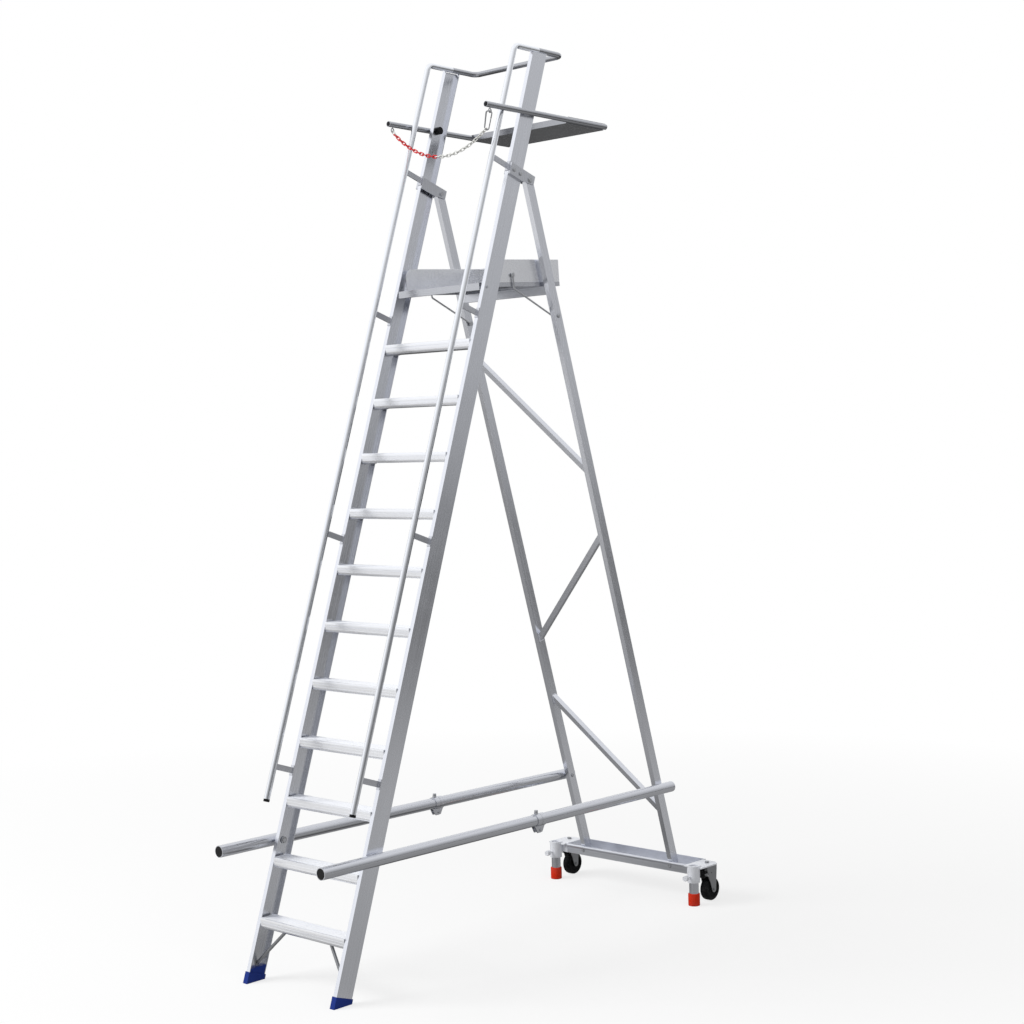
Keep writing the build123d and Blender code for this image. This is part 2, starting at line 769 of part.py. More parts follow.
# Hinge pins with heads, and the bolt heads of the brackets
with BuildPart() as hinge_fasteners:
    head_x = outer_plate_x + hinge_plate
    rod(along_stile(inner_plate_x), hinge_centre, hinge_pin_radius, hinge_hole_length)
    rod(along_stile(head_x), hinge_centre, bar_nut_radius, bolt_head_height)
    rod(along_stile(inner_plate_x), hinge_centre, bar_nut_radius, -bolt_head_height)
    for bolt_v in (-hinge_bolt_pitch / 2, hinge_bolt_pitch / 2):
        rod(along_stile(head_x), (bolt_v, hinge_u), bolt_head_radius, bolt_head_height)
    mirror(about=Plane.YZ)
save(hinge_fasteners, "hinge_fasteners")


# Diagonal braces between the rear legs, as mitred square tubes
def leg_up(z):
    """Place along the leg, up from the hinge, of height z."""
    return (z - hinge_height) / leg_c


def brace_corners(left_up, right_up, half_depth):
    """A band between the legs' inner faces."""
    return (
        (-leg_inner, left_up - half_depth),
        (leg_inner, right_up - half_depth),
        (leg_inner, right_up + half_depth),
        (-leg_inner, left_up + half_depth),
    )


def in_frame(w):
    """Plane of the rear frame, w behind the legs' middle (x, up from the hinge)."""
    point = (0, hinge_y + w * leg_c - origin_y, hinge_height + w * leg_s)
    return Plane(origin=point, x_dir=(1, 0, 0), z_dir=(0, -leg_c, -leg_s))


for brace_name, (left_z, right_z) in zip(("upper", "middle", "lower"), brace_heights):
    left_up = leg_up(left_z)
    right_up = leg_up(right_z)
    slope = hypot(2 * leg_inner, right_up - left_up) / (2 * leg_inner)
    with BuildPart() as brace:
        outside = brace_corners(left_up, right_up, brace_size / 2 * slope)
        prism(in_frame(brace_size / 2), outside, brace_size)
        bore = brace_size - 2 * brace_wall
        inside = brace_corners(left_up, right_up, bore / 2 * slope)
        prism(in_frame(bore / 2), inside, bore, Mode.SUBTRACT)
    save(brace, f"brace_{brace_name}")

# Cross tube between the rear legs, under the deck
with BuildPart() as cross_tube:
    half = cross_tube_depth / 2
    cross_low = cross_top - cross_tube_height
    block(on_deck(-leg_inner), (cross_p - half, cross_low), (cross_p + half, cross_top), 2 * leg_inner)
    inner_first = (cross_p - half + brace_wall, cross_low + brace_wall)
    inner_last = (cross_p + half - brace_wall, cross_top - brace_wall)
    block(on_deck(-leg_inner), inner_first, inner_last, 2 * leg_inner, Mode.SUBTRACT)
save(cross_tube, "cross_tube")

# Base beam: an upward channel in which the rear legs stand
with BuildPart() as base_beam:
    block(side(-beam_half), (beam_front, beam_bottom), (beam_rear, beam_top), 2 * beam_half)
    trough_first = (beam_front + beam_wall, beam_bottom + beam_wall)
    trough_last = (beam_rear - beam_wall, beam_top)
    block(side(-beam_half), trough_first, trough_last, 2 * beam_half, Mode.SUBTRACT)
save(base_beam, "base_beam")

# End brackets: foot sleeve in front, castor plate behind
with BuildPart() as end_brackets:
    plate_end = (end_reach, castor_y + end_margin)
    block(side(beam_half), (beam_front, beam_bottom), (beam_rear, beam_top), end_plate)
    block(level(beam_top - end_top_plate), (beam_half, foot_y), plate_end, end_top_plate)
    outer_corners = end_brackets.edges().filter_by(Axis.Z).group_by(Axis.X)[-1]
    fillet(outer_corners.sort_by(Axis.Y)[-1], end_corner)
    block(facing(beam_front), (beam_half, beam_bottom), (track_half, beam_top), -end_plate)
    sleeve_length = sleeve_top - sleeve_bottom
    rod(level(sleeve_bottom), (track_half, foot_y), sleeve_radius, sleeve_length)
    sleeve_bore = foot_tube_radius + running_fit
    rod(level(sleeve_bottom), (track_half, foot_y), sleeve_bore, sleeve_length, Mode.SUBTRACT)
    castor_hole = axle_radius + running_fit
    rod(level(beam_bottom), (track_half, castor_y), castor_hole, beam_height, Mode.SUBTRACT)
    screw_hole = lock_screw_radius + running_fit
    screw_centre = (track_half, lock_screw_height)
    rod(facing(foot_y), screw_centre, screw_hole, 2 * sleeve_radius, Mode.SUBTRACT)
    mirror(about=Plane.YZ)
save(end_brackets, "end_brackets")

# Bolts of the rear frame: through the legs at the stays, behind the bars, and on the base beam
with BuildPart() as frame_bolts:
    stay_x = (deck_half + leg_inner) / 2
    stay_end_x = stay_x - stay_eye_thickness / 2
    rod(side(stay_end_x), (stay_leg_y, stay_leg_height), bolt_radius, leg_outer - stay_end_x)
    rod(side(leg_outer), (stay_leg_y, stay_leg_height), bolt_head_radius, bolt_head_height)
    leg_x = (leg_inner + leg_outer) / 2
    beam_bolt = (leg_x, beam_bottom + beam_height / 2)
    rod(facing(beam_front), beam_bolt, bolt_head_radius, bolt_head_height)
    bar_bolt_x = leg_inner - bolt_head_height
    rod(side(bar_bolt_x), (bar_rear_y, bar_height), bolt_head_radius, bolt_head_height)
    mirror(about=Plane.YZ)
save(frame_bolts, "frame_bolts")

# Rear feet: tubes that slide in the sleeves, with rubber tips
with BuildPart() as foot_tube:
    tube_length = foot_tube_top - tip_sole
    rod(level(tip_sole), (track_half, foot_y), foot_tube_radius, tube_length)
    tube_bore = foot_tube_radius - foot_tube_wall
    bore_length = tube_length - foot_tube_wall
    rod(level(tip_sole), (track_half, foot_y), tube_bore, bore_length, Mode.SUBTRACT)
save_pair(foot_tube, "foot_tube")

with BuildPart() as foot_tip:
    rod(level(0), (track_half, foot_y), tip_radius, tip_height)
    fillet(foot_tip.edges().group_by(Axis.Z)[0], tip_round)
    tip_bore = foot_tube_radius + running_fit
    rod(level(tip_sole), (track_half, foot_y), tip_bore, tip_height, Mode.SUBTRACT)
save_pair(foot_tip, "foot_tip")

# Lock screws with hand knobs, in front of the sleeves
with BuildPart() as lock_screw:
    screw_end = foot_y - foot_tube_radius - side_gap
    rod(facing(screw_end), screw_centre, lock_screw_radius, screw_end - lock_screw_reach)
    knob_start = lock_screw_reach + lock_knob_length
    rod(facing(knob_start), screw_centre, lock_knob_radius, lock_knob_length)
    flute_ring = lock_knob_radius + lock_flute_radius - lock_flute_depth
    with BuildSketch(facing(knob_start)) as flutes:
        with Locations(screw_centre):
            with PolarLocations(flute_ring, lock_flute_count):
                Circle(lock_flute_radius)
    extrude(flutes.sketch, amount=lock_knob_length, mode=Mode.SUBTRACT)
save_pair(lock_screw, "lock_screw")

# Swivel castors: fork with its stem and axle, wheel and brake pedal
wheel_y = castor_y + castor_trail
wheel_z = wheel_radius + wheel_rise
fork_top = beam_top - end_top_plate - side_gap
fork_low = fork_top - fork_head_height
cheek_in = wheel_width / 2 + fork_gap
cheek_out = cheek_in + fork_plate
with BuildPart() as castor_fork:
    rod(level(fork_low), (track_half, castor_y), fork_head_radius, fork_head_height)
    rod(level(fork_top), (track_half, castor_y), axle_radius, end_top_plate + 2 * side_gap)
    rod(level(beam_top + side_gap), (track_half, castor_y), bar_nut_radius, bar_nut_height)
    crown_first = (track_half - cheek_out, castor_y - fork_cheek_front)
    crown_last = (track_half + cheek_out, castor_y + fork_cheek_rear)
    block(level(fork_top - fork_plate), crown_first, crown_last, fork_plate)
    cheek_middle = castor_y + (fork_cheek_rear - fork_cheek_front) / 2
    cheek_width = fork_cheek_front + fork_cheek_rear
    for cheek_x in (track_half - cheek_out, track_half + cheek_in):
        with BuildSketch(side(cheek_x)) as cheek:
            with Locations((wheel_y, wheel_z)):
                Circle(fork_eye_radius)
            with Locations((cheek_middle, fork_low + fork_head_height / 2)):
                Rectangle(cheek_width, fork_head_height)
            make_hull()
        extrude(cheek.sketch, amount=fork_plate)
    pedal_hole = pedal_pin_radius + running_fit
    pedal_centre = (castor_y, pedal_height)
    rod(side(track_half - cheek_out), pedal_centre, pedal_hole, 2 * cheek_out, Mode.SUBTRACT)
    axle_end = cheek_out + fork_plate
    rod(side(track_half - axle_end), (wheel_y, wheel_z), axle_radius, 2 * axle_end)
save_pair(castor_fork, "castor_fork")

with BuildPart() as castor_wheel:
    wheel_side = side(track_half - wheel_width / 2)
    wheel_centre = (wheel_y, wheel_z)
    rod(wheel_side, wheel_centre, wheel_radius, wheel_width)
    fillet(castor_wheel.edges().filter_by(GeomType.CIRCLE), wheel_round)
    for recess_side in (wheel_side, side(track_half + wheel_width / 2 - wheel_recess_depth)):
        with BuildSketch(recess_side) as recess:
            with Locations(wheel_centre):
                Circle(wheel_recess_radius)
                Circle(wheel_hub_radius, mode=Mode.SUBTRACT)
        extrude(recess.sketch, amount=wheel_recess_depth, mode=Mode.SUBTRACT)
    rod(wheel_side, wheel_centre, axle_radius + running_fit, wheel_width, Mode.SUBTRACT)
save_pair(castor_wheel, "castor_wheel")

with BuildPart() as brake_pedal:
    pedal_side = side(track_half - pedal_width / 2)
    low = pedal_height - pedal_thickness / 2
    high = pedal_height + pedal_thickness / 2
    front = castor_y - pedal_front
    block(pedal_side, (front, low), (castor_y + pedal_rear, high), pedal_width)
    tab_end = (front + pedal_thickness, high + pedal_lip)
    block(pedal_side, (front, low - pedal_drop), tab_end, pedal_width)
    rod(side(track_half - cheek_out), pedal_centre, pedal_pin_radius, 2 * cheek_out)
save_pair(brake_pedal, "brake_pedal")

# Platform deck: ribbed plank with a deeper front nose and side trunnions
with BuildPart() as platform_deck:
    width = 2 * deck_half
    block(on_deck(-deck_half), (deck_front, deck_under), (deck_rear, deck_top), width)
    nose_rear = deck_front + nose_depth
    block(on_deck(-deck_half), (deck_front, deck_top - nose_height), (nose_rear, deck_top), width)
    hollow = deck_half - deck_skin
    bay_last = (deck_rear - deck_skin, deck_top - deck_skin)
    block(on_deck(-hollow), (nose_rear, deck_under), bay_last, 2 * hollow, Mode.SUBTRACT)
    rib_rows = int((deck_length - nose_depth) // deck_rib_pitch)
    with BuildSketch(on_deck(-hollow)) as grooves:
        with Locations(((deck_front + deck_rear) / 2, deck_top)):
            with GridLocations(deck_rib_pitch, 0, rib_rows, 1):
                Rectangle(deck_groove_width, 2 * deck_groove_depth)
    extrude(grooves.sketch, amount=2 * hollow, mode=Mode.SUBTRACT)
    trunnion = stile_half + stile_wall - deck_half
    for sign in (-1, 1):
        rod(on_deck(sign * deck_half), (0, 0), pivot_radius, sign * trunnion)
save(platform_deck, "platform_deck")

# Toe boards on both sides and the rear of the deck
with BuildPart() as toe_boards:
    toe_top = deck_top + toe_height
    with BuildSketch(on_deck(deck_half - toe_sheet)) as toe_outline:
        Polygon(
            (toe_start, deck_top),
            (deck_rear, deck_top),
            (deck_rear, toe_top),
            (toe_start, toe_top),
            align=None,
        )
        fillet(toe_outline.vertices().group_by(Axis.Y)[-1].sort_by(Axis.X)[0], toe_corner)
    extrude(toe_outline.sketch, amount=toe_sheet)
    mirror(about=Plane.YZ)
    rear_half = deck_half - toe_sheet - weld_gap
    block(on_deck(-rear_half), (deck_rear - toe_sheet, deck_top), (deck_rear, toe_top), 2 * rear_half)
save(toe_boards, "toe_boards")

# Platform stays: bent rods from the legs to the toe boards
stay_hook_y = pivot_y + stay_hook_back * tilt_c - stay_hook_up * tilt_s
stay_hook_z = pivot_z + stay_hook_back * tilt_s + stay_hook_up * tilt_c
with BuildPart() as platform_stays:
    with BuildLine(side(stay_x)) as stay_path:
        FilletPolyline(
            (stay_hook_y, stay_hook_z),
            (stay_hook_y + stay_bend_back, stay_hook_z - stay_bend_down),
            (stay_leg_y, stay_leg_height),
            radius=stay_bend_radius,
        )
    stay_line = stay_path.line
    with BuildSketch(Plane(origin=stay_line @ 0, z_dir=stay_line % 0)) as stay_section:
        Circle(stay_radius)
    sweep(stay_section.sketch, path=stay_line)
    for centre in ((stay_hook_y, stay_hook_z), (stay_leg_y, stay_leg_height)):
        rod(side(stay_end_x), centre, stay_eye_radius, stay_eye_thickness)
    rod(side(deck_half + side_gap), (stay_hook_y, stay_hook_z), bolt_radius, stay_eye_thickness)
    stay_gap = leg_inner - deck_half
    rod(side(deck_half), (stay_leg_y, stay_leg_height), stay_hole, stay_gap, Mode.SUBTRACT)
    mirror(about=Plane.YZ)
save(platform_stays, "platform_stays")

# Spreader bars: front halves turn on the stiles
collar_radius = bar_radius + knee_collar_wall
knee_low = knee_z - knee_eye_radius
bar_under = bar_height - bar_radius + bar_wall
cheek_inner = knee_tongue / 2 + side_gap
with BuildPart() as front_bars:
    front_end = knee_y - knee_gap / 2
    bar_run = -bar_reach - front_end
    rod(facing(-bar_reach), (bar_half, bar_height), bar_radius, bar_run)
    rod(facing(front_end), (bar_half, bar_height), collar_radius, knee_collar_length)
    boss_start = stile_half + side_gap
    rod(side(boss_start), (bar_front_y, bar_height), bar_boss_radius, bar_half - boss_start)
    for cheek_x in (bar_half - cheek_inner - knee_cheek, bar_half + cheek_inner):
        with BuildSketch(side(cheek_x)) as cheek:
            Polygon(
                (knee_y - knee_lug_length, bar_under),
                (front_end, bar_under),
                (front_end, knee_low),
                (knee_y - knee_lug_length / 2, knee_low),
                align=None,
            )
            with Locations((knee_y, knee_z)):
                Circle(knee_eye_radius)
        extrude(cheek.sketch, amount=knee_cheek)
    latch_y = knee_y - latch_back
    rod(level(bar_height), (bar_half, latch_y), latch_boss_radius, bar_radius + latch_boss_height)
    bar_bore = bar_radius - bar_wall
    rod(facing(-bar_reach), (bar_half, bar_height), bar_bore, bar_run, Mode.SUBTRACT)
    knee_hole = knee_pin_radius + running_fit
    rod(side(bar_inner), (knee_y, knee_z), knee_hole, 2 * bar_radius, Mode.SUBTRACT)
    latch_hole = latch_radius + running_fit
    rod(level(bar_height), (bar_half, latch_y), latch_hole, 2 * bar_radius, Mode.SUBTRACT)
    pin_end = web_inner - side_gap - bar_nut_height
    pin_length = stile_half + 2 * side_gap - pin_end
    rod(side(pin_end), (bar_front_y, bar_height), bar_pin_radius, pin_length)
    mirror(about=Plane.YZ)
save(front_bars, "front_bars")

# Black plugs in the front ends of the bars
bar_cap_start = bar_cap_recess - bar_reach
with BuildPart() as bar_caps:
    bar_centre = (bar_half, bar_height)
    plug_radius = bar_bore - weld_gap
    rod(facing(bar_cap_start), bar_centre, plug_radius, -bar_cap_length)
    plug_bore = plug_radius - bar_cap_wall
    rod(facing(bar_cap_start + bar_cap_end), bar_centre, plug_bore, -bar_cap_length, Mode.SUBTRACT)
    mirror(about=Plane.YZ)
save(bar_caps, "bar_caps")

# Nuts inside the stiles and pins at the knees
with BuildPart() as bar_fasteners:
    rod(side(pin_end), (bar_front_y, bar_height), bar_nut_radius, bar_nut_height)
    nut_hole = bar_pin_radius + running_fit
    rod(side(pin_end), (bar_front_y, bar_height), nut_hole, bar_nut_height, Mode.SUBTRACT)
    knee_reach = cheek_inner + knee_cheek + bolt_head_height
    rod(side(bar_half - knee_reach), (knee_y, knee_z), knee_pin_radius, 2 * knee_reach)
    mirror(about=Plane.YZ)
save(bar_fasteners, "bar_fasteners")

# Rear halves of the bars, hinged under the front halves
with BuildPart() as rear_bars:
    rear_start = knee_y + knee_gap / 2
    rear_end = bar_rear_y + bar_tail
    rod(facing(rear_start), bar_centre, bar_radius, rear_start - rear_end)
    rod(facing(rear_start), bar_centre, collar_radius, -knee_collar_length)
    with BuildSketch(side(bar_half - knee_tongue / 2)) as tongue:
        Polygon(
            (knee_y + knee_lug_length, bar_under),
            (rear_start, bar_under),
            (rear_start, knee_low),
            (knee_y + knee_lug_length / 2, knee_low),
            align=None,
        )
        with Locations((knee_y, knee_z)):
            Circle(knee_eye_radius)
    extrude(tongue.sketch, amount=knee_tongue)
    bore_run = rear_start - rear_end + bar_wall
    rod(facing(rear_start), bar_centre, bar_bore, bore_run, Mode.SUBTRACT)
    rod(side(bar_inner), (knee_y, knee_z), knee_hole, 2 * bar_radius, Mode.SUBTRACT)
    mirror(about=Plane.YZ)
save(rear_bars, "rear_bars")

# Pull pins on top of the bars, beside the knees
with BuildPart() as knee_latches:
    latch_low = bar_height + bar_bore
    latch_top = bar_height + bar_radius + latch_boss_height
    rod(level(latch_low), (bar_half, latch_y), latch_radius, latch_top - latch_low)
    rod(level(latch_top + side_gap), (bar_half, latch_y), latch_knob_radius, latch_knob_height)
    rod(level(latch_top), (bar_half, latch_y), latch_radius, side_gap)
    mirror(about=Plane.YZ)
save(knee_latches, "knee_latches")
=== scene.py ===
"""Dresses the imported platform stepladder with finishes, rounded edges, small parts and a stage."""

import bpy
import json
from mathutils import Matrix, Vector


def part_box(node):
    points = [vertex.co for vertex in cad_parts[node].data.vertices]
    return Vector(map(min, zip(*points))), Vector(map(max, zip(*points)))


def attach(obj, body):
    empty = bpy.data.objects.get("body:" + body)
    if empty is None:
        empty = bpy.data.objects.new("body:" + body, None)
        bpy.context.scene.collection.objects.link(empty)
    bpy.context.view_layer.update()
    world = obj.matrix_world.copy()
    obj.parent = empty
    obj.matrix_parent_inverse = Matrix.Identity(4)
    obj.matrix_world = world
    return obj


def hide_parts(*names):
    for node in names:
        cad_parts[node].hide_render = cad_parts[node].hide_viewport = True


bl_info = {
    "name": "Platform stepladder",
    "version": (1, 0, 0),
    "blender": (4, 5, 0),
    "location": "3D View > Sidebar > Stepladder",
    "description": "Finishes and small parts of a folding platform stepladder",
    "category": "Object",
}

import json
from math import atan2, cos, pi, radians, sin

import bmesh
import bpy
import numpy
from bpy.props import FloatProperty, FloatVectorProperty, IntProperty, PointerProperty
from mathutils import Matrix, Vector

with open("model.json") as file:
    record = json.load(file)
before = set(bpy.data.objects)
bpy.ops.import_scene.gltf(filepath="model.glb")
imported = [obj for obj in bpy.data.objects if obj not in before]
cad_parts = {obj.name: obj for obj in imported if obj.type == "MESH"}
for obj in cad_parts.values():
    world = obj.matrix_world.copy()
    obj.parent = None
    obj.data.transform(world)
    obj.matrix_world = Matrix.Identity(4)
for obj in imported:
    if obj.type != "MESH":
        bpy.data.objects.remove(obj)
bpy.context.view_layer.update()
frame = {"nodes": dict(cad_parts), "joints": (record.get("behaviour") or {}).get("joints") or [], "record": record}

MM = 0.001
MERGE = 0.005 * MM
FLAT_ANGLE = radians(0.5)
BEVEL_ANGLE = radians(40)
TURNED_CREASE = radians(38)
EXTRUDED_CREASE = radians(34)
STILE_LEAN = radians(18.16)
LEG_LEAN = radians(16.8)
SIDES = ("left", "right")
TREADS = sorted(name for name in frame["nodes"] if name.startswith("tread_") and name[-1].isdigit())
BODIES = frame["record"]["behaviour"]["bodies"]
BODY_OF = {node: body for body, nodes in BODIES.items() for node in nodes}
JOINT = {joint["name"]: joint for joint in frame["joints"]}


# Sizes and colours that a user would change

class LadderFinishes(bpy.types.PropertyGroup):
    """Colours and sheen of the ladder's materials."""

    aluminium: FloatVectorProperty(
        name="Aluminium", description="Colour of the bare extrusions",
        subtype="COLOR", size=3, min=0, max=1, default=(0.82, 0.835, 0.885))
    aluminium_sheen: FloatProperty(
        name="Satin", description="Roughness of the bare extrusions",
        subtype="FACTOR", min=0.1, max=0.8, default=0.31)
    zinc: FloatVectorProperty(
        name="Zinc", description="Colour of the plated steel",
        subtype="COLOR", size=3, min=0, max=1, default=(0.58, 0.59, 0.61))
    foot_blue: FloatVectorProperty(
        name="Foot blue", description="Colour of the stile feet",
        subtype="COLOR", size=3, min=0, max=1, default=(0.006, 0.030, 0.24))
    tip_red: FloatVectorProperty(
        name="Tip red", description="Colour of the rear rubber tips",
        subtype="COLOR", size=3, min=0, max=1, default=(0.72, 0.035, 0.010))
    chain_red: FloatVectorProperty(
        name="Chain red", description="Colour of the red links",
        subtype="COLOR", size=3, min=0, max=1, default=(0.68, 0.035, 0.04))
    chain_white: FloatVectorProperty(
        name="Chain white", description="Colour of the white links",
        subtype="COLOR", size=3, min=0, max=1, default=(0.80, 0.80, 0.77))
    black: FloatVectorProperty(
        name="Black plastic", description="Colour of caps, knobs and pedals",
        subtype="COLOR", size=3, min=0, max=1, default=(0.004, 0.004, 0.005))


class LadderSizes(bpy.types.PropertyGroup):
    """Sizes of the small parts."""

    edge: FloatProperty(
        name="Edge round", description="Rounding of extruded and cut edges",
        unit="LENGTH", min=0, default=0.9 * MM)
    moulded_edge: FloatProperty(
        name="Moulded round", description="Rounding of plastic parts",
        unit="LENGTH", min=0, default=1.6 * MM)
    rib_height: FloatProperty(
        name="Rib height", description="Height of the ribs on a tread",
        unit="LENGTH", min=0, default=1.4 * MM)
    rib_pitch: FloatProperty(
        name="Rib pitch", description="Distance between ribs on a tread",
        unit="LENGTH", min=4 * MM, default=8 * MM)
    beam_wall: FloatProperty(
        name="Beam wall", description="Wall of the base beam",
        unit="LENGTH", min=MM, default=3 * MM)
    beam_bead: FloatProperty(
        name="Beam bead", description="Radius of the bead along the base beam",
        unit="LENGTH", min=0, default=7 * MM)
    head_height: FloatProperty(
        name="Bolt head", description="Height of the hexagon heads",
        unit="LENGTH", min=0, default=5.8 * MM)
    bead: FloatProperty(
        name="Weld bead", description="Radius of a weld bead",
        unit="LENGTH", min=0, default=2.4 * MM)
    bead_pitch: FloatProperty(
        name="Weld ripple", description="Distance between weld ripples",
        unit="LENGTH", min=MM, default=2.6 * MM)
    link_length: FloatProperty(
        name="Link length", description="Length of a chain link on its wire's centre",
        unit="LENGTH", min=0, default=26.9 * MM)
    link_width: FloatProperty(
        name="Link width", description="Width of a chain link on its wire's centre",
        unit="LENGTH", min=0, default=11.4 * MM)
    link_wire: FloatProperty(
        name="Link wire", description="Radius of the chain's wire",
        unit="LENGTH", min=0, default=2.4 * MM)
    hook_bow: FloatProperty(
        name="Hook bow", description="How far the snap hook's back bows out",
        unit="LENGTH", min=0, default=16 * MM)
    turning_steps: IntProperty(
        name="Turning steps", description="Sides of the turned parts",
        min=12, default=64)


class LadderStage(bpy.types.PropertyGroup):
    """Camera and studio."""

    camera_place: FloatVectorProperty(
        name="Camera", description="Place of the camera",
        subtype="TRANSLATION", unit="LENGTH", size=3, default=(5.4193, -5.6338, 2.1571))
    heading: FloatProperty(
        name="Heading", description="Turn of the view from straight ahead",
        subtype="ANGLE", default=radians(42.543))
    pitch: FloatProperty(
        name="Pitch", description="Fall of the view",
        subtype="ANGLE", default=radians(1.841))
    roll: FloatProperty(
        name="Roll", description="Lean of the view",
        subtype="ANGLE", default=radians(-1.163))
    view_angle: FloatProperty(
        name="View angle", description="Angle across the picture",
        subtype="ANGLE", default=radians(32.597))
    key_power: FloatProperty(
        name="Key light", description="Power of the large front light",
        unit="POWER", default=700)
    fill_power: FloatProperty(
        name="Fill light", description="Power of the side light",
        unit="POWER", default=60)
    ambient: FloatProperty(
        name="Ambient", description="Strength of the even light",
        min=0, default=0.42)


# Shader building

class Value:
    """A shader output that takes part in sums written as Python."""

    def __init__(self, finish, socket):
        self.finish = finish
        self.socket = socket

    def joined(self, operation, first, second):
        return self.finish.node("ShaderNodeMath", {"operation": operation}, {0: first, 1: second})

    def __add__(self, other):
        return self.joined("ADD", self, other)

    def __radd__(self, other):
        return self.joined("ADD", other, self)

    def __sub__(self, other):
        return self.joined("SUBTRACT", self, other)

    def __rsub__(self, other):
        return self.joined("SUBTRACT", other, self)

    def __mul__(self, other):
        return self.joined("MULTIPLY", self, other)

    def __rmul__(self, other):
        return self.joined("MULTIPLY", other, self)


class Graph:
    """A node tree under construction."""

    def __init__(self, tree):
        self.tree = tree
        tree.nodes.clear()

    def node(self, kind, settings=None, inputs=None, output=0):
        """Add a node with its settings, then its sockets' values or links."""
        made = self.tree.nodes.new(kind)
        for name, value in (settings or {}).items():
            setattr(made, name, value)
        for key, value in (inputs or {}).items():
            links = value if isinstance(value, list) else [value]
            for link in links:
                if isinstance(link, Value):
                    self.tree.links.new(link.socket, made.inputs[key])
                else:
                    made.inputs[key].default_value = link
        return Value(self, made.outputs[output]) if len(made.outputs) else None


class Finish(Graph):
    """The nodes of a material or of the world."""

    def place(self, turn=(0, 0, 0), stretch=(1, 1, 1)):
        """Object coordinates, turned and stretched to a piece's own direction."""
        coords = self.node("ShaderNodeTexCoord", output="Object")
        inputs = {"Vector": coords, "Rotation": turn, "Scale": stretch}
        return self.node("ShaderNodeMapping", {"vector_type": "TEXTURE"}, inputs)

    def noise(self, where, scale, detail=3.0, rough=0.55):
        """Cloudy values about a half."""
        inputs = {"Vector": where, "Scale": scale, "Detail": detail, "Roughness": rough}
        return self.node("ShaderNodeTexNoise", {"noise_dimensions": "3D"}, inputs)

    def ramp(self, value, low, high):
        """Stretch the part of a value between low and high to 0 and 1."""
        inputs = {"Value": value, "From Min": low, "From Max": high, "To Min": 0.0, "To Max": 1.0}
        return self.node("ShaderNodeMapRange", {"clamp": True}, inputs)

    def tint(self, share, first, second):
        """A colour between two colours, which are numbers or links."""
        ends = [colour if isinstance(colour, Value) else (*colour, 1) for colour in (first, second)]
        inputs = {0: share, 6: ends[0], 7: ends[1]}
        return self.node("ShaderNodeMix", {"data_type": "RGBA"}, inputs, output=2)

    def along(self, where, direction):
        """How far a place lies along a direction."""
        settings = {"operation": "DOT_PRODUCT"}
        return self.node("ShaderNodeVectorMath", settings, {0: where, 1: direction}, output="Value")

    def away(self, where):
        """How far a place lies from the origin."""
        return self.node("ShaderNodeVectorMath", {"operation": "LENGTH"}, {0: where}, output="Value")

    def bump(self, height, strength, distance):
        """A normal that follows a height. The distance is in metres."""
        inputs = {"Height": height, "Strength": strength, "Distance": distance}
        return self.node("ShaderNodeBump", None, inputs)

    def surface(self, **sockets):
        """The finished surface. Sockets are named with underscores for spaces."""
        inputs = {name.replace("_", " "): value for name, value in sockets.items()}
        shader = self.node("ShaderNodeBsdfPrincipled", None, inputs)
        self.node("ShaderNodeOutputMaterial", None, {"Surface": shader})


def new_finish(name):
    """A new material, and its nodes under construction."""
    material = bpy.data.materials.new(name)
    material.use_nodes = True
    return material, Finish(material.node_tree)


def scaled(colour, factor):
    """A colour made lighter or darker."""
    return tuple(min(1.0, channel * factor) for channel in colour)


# Materials

# Grain of drawn metal in metres, twice across the bar and once along it
DIE_LINES = (0.0022, 0.0022, 0.9)
HAIRLINES = (0.0005, 0.0005, 0.12)
HANDLING_MARKS = (0.004, 0.004, 0.03)

# Turn and size in metres of the scuffs on plastic
SCUFF_TURN = (0.3, 0.5, 0.2)
SCUFF_SIZE = (0.02, 0.004, 0.012)


def drawn_aluminium(name, turn, bright, polish):
    """Bare extruded aluminium: fine lines along the bar, a cloudy oxide and small handling marks. The bright
    factor scales the colour of each copy as painted light and shade.
    """
    look = bpy.context.scene.ladder_finishes
    material, finish = new_finish(name)
    lines = finish.noise(finish.place(turn, DIE_LINES), 1.0, 4.0)
    hairs = finish.noise(finish.place(turn, HAIRLINES), 1.0, 2.0)
    cloud = finish.noise(finish.place(), 5.0, 4.0)
    marks = finish.ramp(finish.noise(finish.place(turn, HANDLING_MARKS), 1.0, 2.0), 0.66, 0.74)
    streak = finish.ramp(lines * 0.65 + hairs * 0.35, 0.36, 0.64)
    # the bright factor paints light and shade: each part gets a lighter or darker copy of the same aluminium
    dull = scaled(look.aluminium, 0.93 * bright)
    fresh = scaled(look.aluminium, 1.05 * bright)
    colour = finish.tint(streak, dull, fresh)
    satin = look.aluminium_sheen - polish
    sheen = satin + (streak - 0.5) * 0.10 + (cloud - 0.5) * 0.16 + marks * 0.10
    relief = finish.bump(streak * 0.6 + hairs * 0.4 - marks * 0.5, 0.16, 0.10 * MM)
    finish.surface(Base_Color=colour, Roughness=sheen, Normal=relief, Metallic=1.0)
    return material


def cast_aluminium(name):
    """Pale tumbled castings with a powdery oxide."""
    look = bpy.context.scene.ladder_finishes
    material, finish = new_finish(name)
    grain = finish.noise(finish.place(), 900.0, 3.0)
    cloud = finish.noise(finish.place(), 14.0, 4.0)
    colour = finish.tint(cloud, scaled(look.aluminium, 1.06), scaled(look.aluminium, 1.15))
    sheen = 0.50 + (cloud - 0.5) * 0.2 + (grain - 0.5) * 0.12
    relief = finish.bump(grain, 0.2, 0.12 * MM)
    finish.surface(Base_Color=colour, Roughness=sheen, Normal=relief, Metallic=0.05 + cloud * 0.2)
    return material


